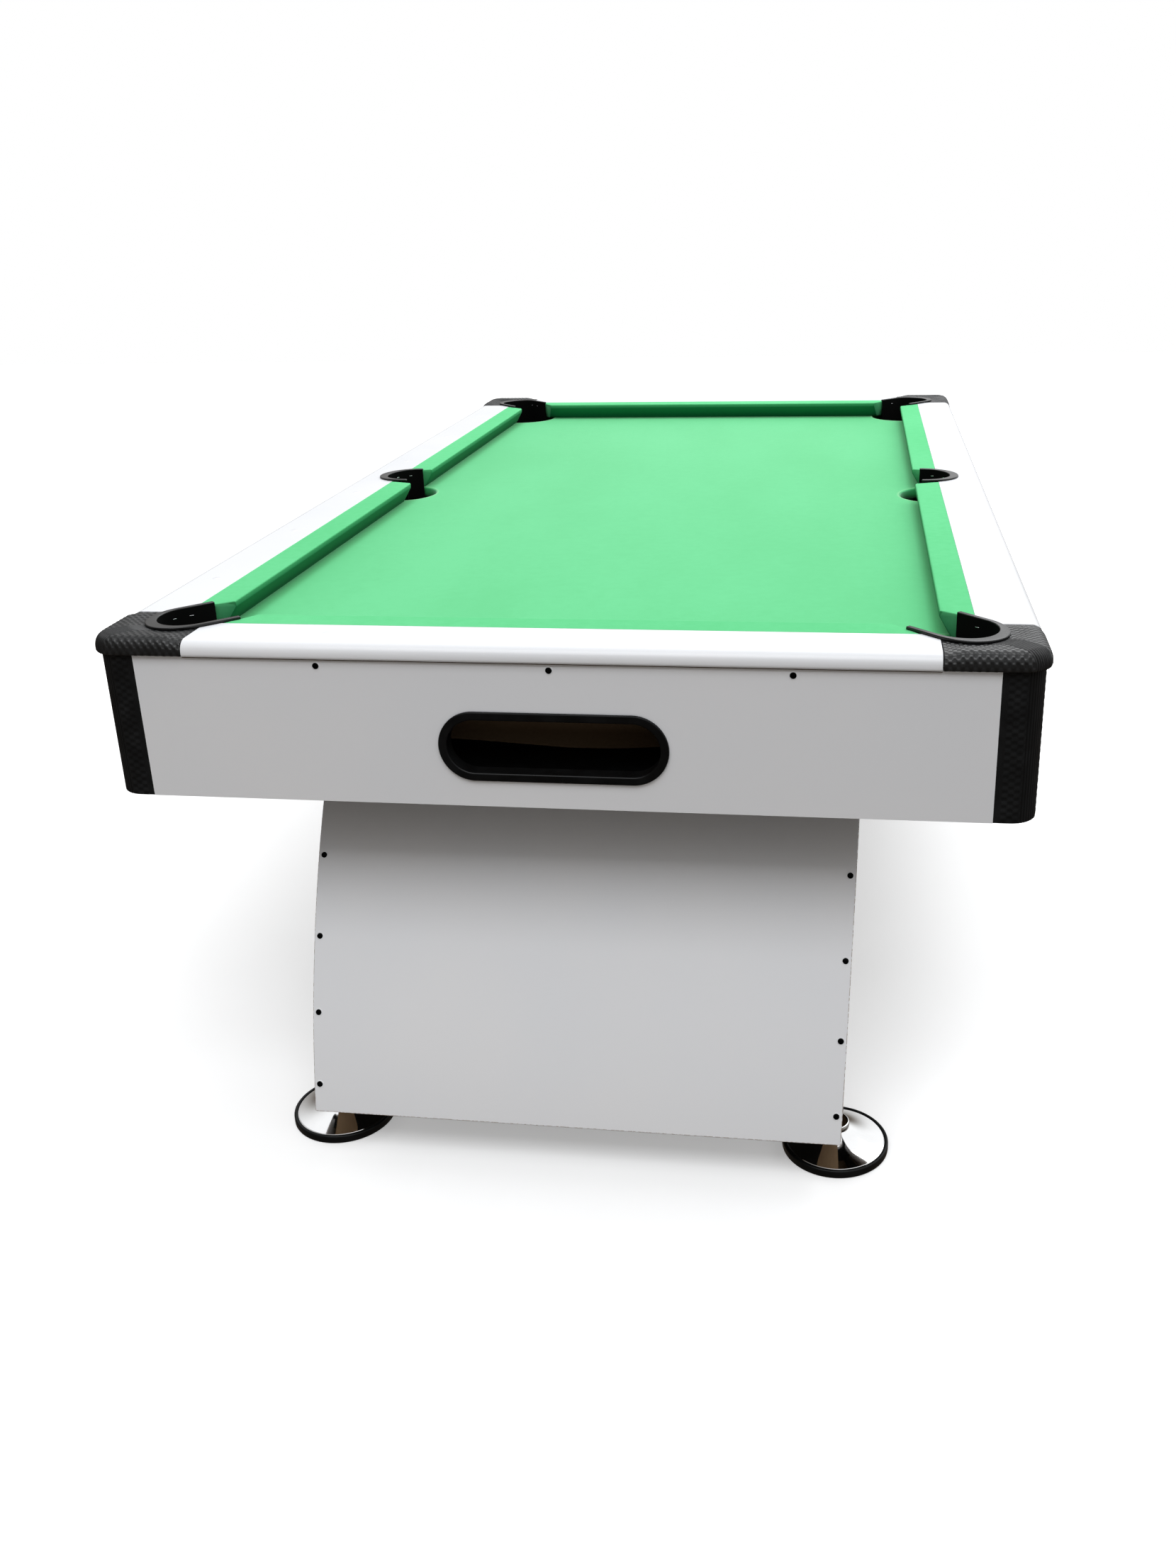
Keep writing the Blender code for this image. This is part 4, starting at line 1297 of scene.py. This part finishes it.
def makeBezel():
    edge, face, rim = bezel["edge"], -bezel["proud"], bezel["rim"]
    section = [(0.0, bezel["deep"]), (0.0, bezel["inner"])]
    section += [(out, face + back) for out, back in bezel["chamfer"]]
    section += [(rim - edge - bezel["flatEnd"], face)]
    for turn in np.linspace(0, quarter, bezel["edgeSteps"] + 1):
        section.append((rim - edge + edge * math.sin(turn), face + edge * (1 - math.cos(turn))))
    section += [(rim, -table["gap"]), (bezel["wall"], -table["gap"]), (bezel["wall"], bezel["deep"])]
    rings = [[(x, -table["apronY"] + deep, z) for x, z in oblong(grow)] for grow, deep in section]
    mesh = loft("ballReturnBezel", rings, looped=True, sharp=40.0)
    piece("ballReturnBezel", mesh, bezelBlack, ["ball_return_bezel"])


def makeStop():  # the raw board that stops balls in the tray, darkened as painted shade, and the black lip before it
    near, far = stop["place"], stop["place"] + stop["thick"]
    ahead, behind = near - stop["lipThick"], near - table["gap"]
    rings, lips = [], []
    for x in np.linspace(-stop["half"], stop["half"], stop["steps"]):
        low = stop["floor"] + stop["fall"] * abs(x) + table["gap"]
        rings.append([(x, near, low), (x, far, low), (x, far, stop["top"]), (x, near, stop["top"])])
        grown = smooth(-x, *stop["lipLeft"]) + stop["lipShare"] * smooth(x, *stop["lipRight"])
        high = low + stop["lipLow"] + stop["lip"] * float(grown)
        lips.append([(x, ahead, low), (x, behind, low), (x, behind, high), (x, ahead, high)])
    piece("ballStop", loft("ballStop", rings), shadedBoard)
    piece("ballStopLip", loft("ballStopLip", lips), trayBlack)


makeAprons()
makeBezel()
makeStop()
print("aprons and ball return made")


# pedestals

leg = {
    "half": 0.377,
    "flare": 0.018,
    "base": 0.0655,
    "top": 0.5527,
    "middleOut": -0.02964,  # of the bend
    "middleZ": -0.24738,
    "outer": 1.1813,
    "depth": 0.170,
    "panel": 0.006,
    "cheek": 0.025,
    "baseBoard": 0.025,
    "edge": 0.0012,
    "levels": 48,
    "screwX": (0.370, 0.3736, 0.3773, 0.381),
    "screwZ": (0.105, 0.203, 0.302, 0.403),
}


def legOut(radius, z):
    return leg["middleOut"] + math.sqrt(radius**2 - (z - leg["middleZ"]) ** 2)


def legSlab(name, span, radii, rise, turn, chipped):
    edge, (left, right), (inner, outer), (low, high) = leg["edge"], span, radii, rise
    rings, wearAndHighlight = [], []
    levels = np.linspace(low, high, leg["levels"])[1:-1]
    for z in [low, low + edge, low + 2 * edge, *levels, high - edge, high]:
        shrink = edge if z in (low, high) else 0.0
        flare = leg["flare"] * (z - leg["base"]) / (leg["top"] - leg["base"])
        near, far = legOut(inner, z) + shrink, legOut(outer, z) - shrink
        x0 = left + math.copysign(flare, left) + shrink
        x1 = right + math.copysign(flare, right) - shrink
        outline = [(x0 + edge, far), (x1 - edge, far), (x1, far - edge), (x1, near + edge)]
        outline += [(x1 - edge, near), (x0 + edge, near), (x0, near + edge), (x0, far - edge)]
        rings.append([(x, -y, z) for x, y in outline])
        bottom = 1.0 if z == low else 0.5 if z < low + 1.5 * edge else 0.0  # most worn along the bottom
        wearAndHighlight.append([chipped * max(bottom, side) for side in (0.0, 0.0, 1.0, 1.0) * 2])
    mesh = loft(name, rings, sharp=30.0, marks={"edge": wearAndHighlight})
    mesh.transform(turnedBy(turn))
    return mesh


def makeLegs():
    outer, inner = leg["outer"], leg["outer"] - leg["depth"]
    half, skin, gap = leg["half"], leg["panel"], table["gap"]
    whole = (leg["base"], leg["top"])
    aboveBoard = (leg["base"] + leg["baseBoard"] + gap, leg["top"])
    between = (inner + skin + gap, outer - skin - gap)
    for end, turn in (("front", 0.0), ("rear", math.pi)):
        name = "pedestal" + end.capitalize()
        panels = {"outer_panel": (outer - skin, outer), "inner_panel": (inner, inner + skin)}
        for panel, radii in panels.items():
            mesh = legSlab(name + panel, (-half, half), radii, whole, turn, 1.0)
            piece(name + "_" + panel, mesh, whiteLaminate, ["leg_%s_%s" % (end, panel)])
        for way in (-1, 1):
            side = "left" if way == (-1 if end == "front" else 1) else "right"
            cheek = "cheek_" + side
            span = sorted((way * (half - leg["cheek"]), way * half))
            mesh = legSlab(name + "_" + cheek, span, between, aboveBoard, turn, 0.0)
            piece(name + "_" + cheek, mesh, whiteLaminate, ["leg_%s_%s" % (end, cheek)])
        places = []
        for x, z in zip(leg["screwX"], leg["screwZ"]):
            out = legOut(outer, z)
            way = Vector((0.0, -(out - leg["middleOut"]), z - leg["middleZ"])).normalized()
            places += [turnedBy(turn) @ facing((sign * x, -out, z), way) for sign in (-1, 1)]
        placeScrews(name, places)


makeLegs()
print("pedestals made")


# levelling feet

foot = {
    "x": 0.369,
    "y": 1.0208,
    "radius": 0.076,
    "padHeight": 0.012,
    "padRounds": (0.0016, 0.0022),  # below and above
    "lip": 0.0045,
    "padFloor": 0.004,
    "rim": 0.011,
    "rimRound": 0.0012,
    "slope": (0.03, 1.0, 22),  # shares of the way up to the hub, and steps
    "dish": 0.125,  # how far the slope sinks, against its height
    "hub": 0.020,
    "hubBase": 0.034,
    "hubTop": 0.043,
    "hubRound": 0.002,
    "stem": 0.006,
    "stemSteps": 72,
    "thread": (0.0006, 0.0004, 0.0007, 0.0005),  # room below and above, half the pitch, and depth
    "boss": 0.0085,
    "bossLow": 0.029,
    "bossEdge": 0.0006,
    "bossRoom": (0.0005, 0.0003),  # round it and below it
    "flats": 0.019,
    "flatEdge": (0.0006, 0.0008),  # in and along
    "shoulder": (0.0572, 0.0652),
    "stemTop": 0.0902,
}


def padProfile():
    radius, high, inside = foot["radius"], foot["padHeight"], foot["radius"] - foot["lip"]
    lower, upper = foot["padRounds"]
    profile = [(0.0, 0.0), (radius - lower, 0.0)]
    profile += arc((radius - lower, lower), lower, -quarter, 0.0, 5)
    profile += arc((radius - upper, high - upper), upper, 0.0, quarter, 6)
    return profile + [(inside, high), (inside, foot["padFloor"]), (0.0, foot["padFloor"])]


def discProfile():
    edge, low = foot["radius"] - foot["lip"] - table["gap"], foot["padFloor"] + table["gap"]
    rim, hub, top, bend = foot["rim"], foot["hub"], foot["hubTop"], foot["rimRound"]
    rise = foot["hubBase"] - rim
    profile = [(0.0, low), (edge, low), (edge, rim - bend)]
    profile += arc((edge - bend, rim - bend), bend, 0.0, quarter, 5)[1:]
    for share in np.linspace(*foot["slope"]):
        dish = math.sin(math.pi * share) * rise * foot["dish"]
        profile.append((edge + (hub - edge) * share, rim + rise * share - dish))
    bend = foot["hubRound"]
    profile += arc((hub - bend, top - bend), bend, 0.0, quarter, 6)
    room, below = foot["bossRoom"]
    socket, floor = foot["boss"] + room, foot["bossLow"] - below
    return profile + [(socket, top), (socket, floor), (0.0, floor)]


def stemProfile():
    stem, boss, top, bend = foot["stem"], foot["boss"], foot["hubTop"], foot["bossEdge"]
    under, over = foot["shoulder"]
    profile = [(0.0, foot["bossLow"]), (boss, foot["bossLow"]), (boss, top - bend)]
    profile += [(boss - bend, top), (stem, top)]
    below, above, pitch, depth = foot["thread"]
    for turn, height in enumerate(np.arange(top + below, under - above, pitch)):
        profile.append((stem - (depth if turn % 2 else 0.0), height))
    wide, (inwards, along) = foot["flats"] / 2, foot["flatEdge"]
    profile += [(stem, under), (wide - inwards, under, "hex"), (wide, under + along, "hex")]
    profile += [(wide, over - along, "hex"), (wide - inwards, over, "hex"), (stem, over)]
    return profile + [(stem, foot["stemTop"]), (0.0, foot["stemTop"])]


def makeFeet():
    pad, disc = turned("footPad", padProfile()), turned("footDisc", discProfile())
    stem = turned("footStem", stemProfile(), foot["stemSteps"])
    for corner, (wayX, wayY, _) in corners.items():
        where = Matrix.Translation((wayX * foot["x"], wayY * foot["y"], 0.0))
        body = "foot_" + corner
        piece("footPad_" + corner, pad, blackRubber, ["foot_pad_" + corner], body, where)
        piece("footDisc_" + corner, disc, chrome, ["foot_disc_" + corner], body, where)
        piece("footStem_" + corner, stem, zinc, ["foot_stem_" + corner], "stem_" + corner, where)


makeFeet()
print("feet made")


# the solids that stay

kept = {
    rawBoard: ["cross_beam_front", "cross_beam_rear", "leg_front_top_board", "leg_rear_top_board"],
    # the playfield board shows only down in the holes, darkened as painted shade
    shadedBoard: ["playfield_board"],
    baseBoard: ["leg_front_base_board", "leg_rear_base_board"],
    trayBlack: ["ball_tray", "gully_left", "gully_right"],
}
for paint, names in kept.items():
    for name in names:
        repaint(name, paint)
print("kept solids painted")
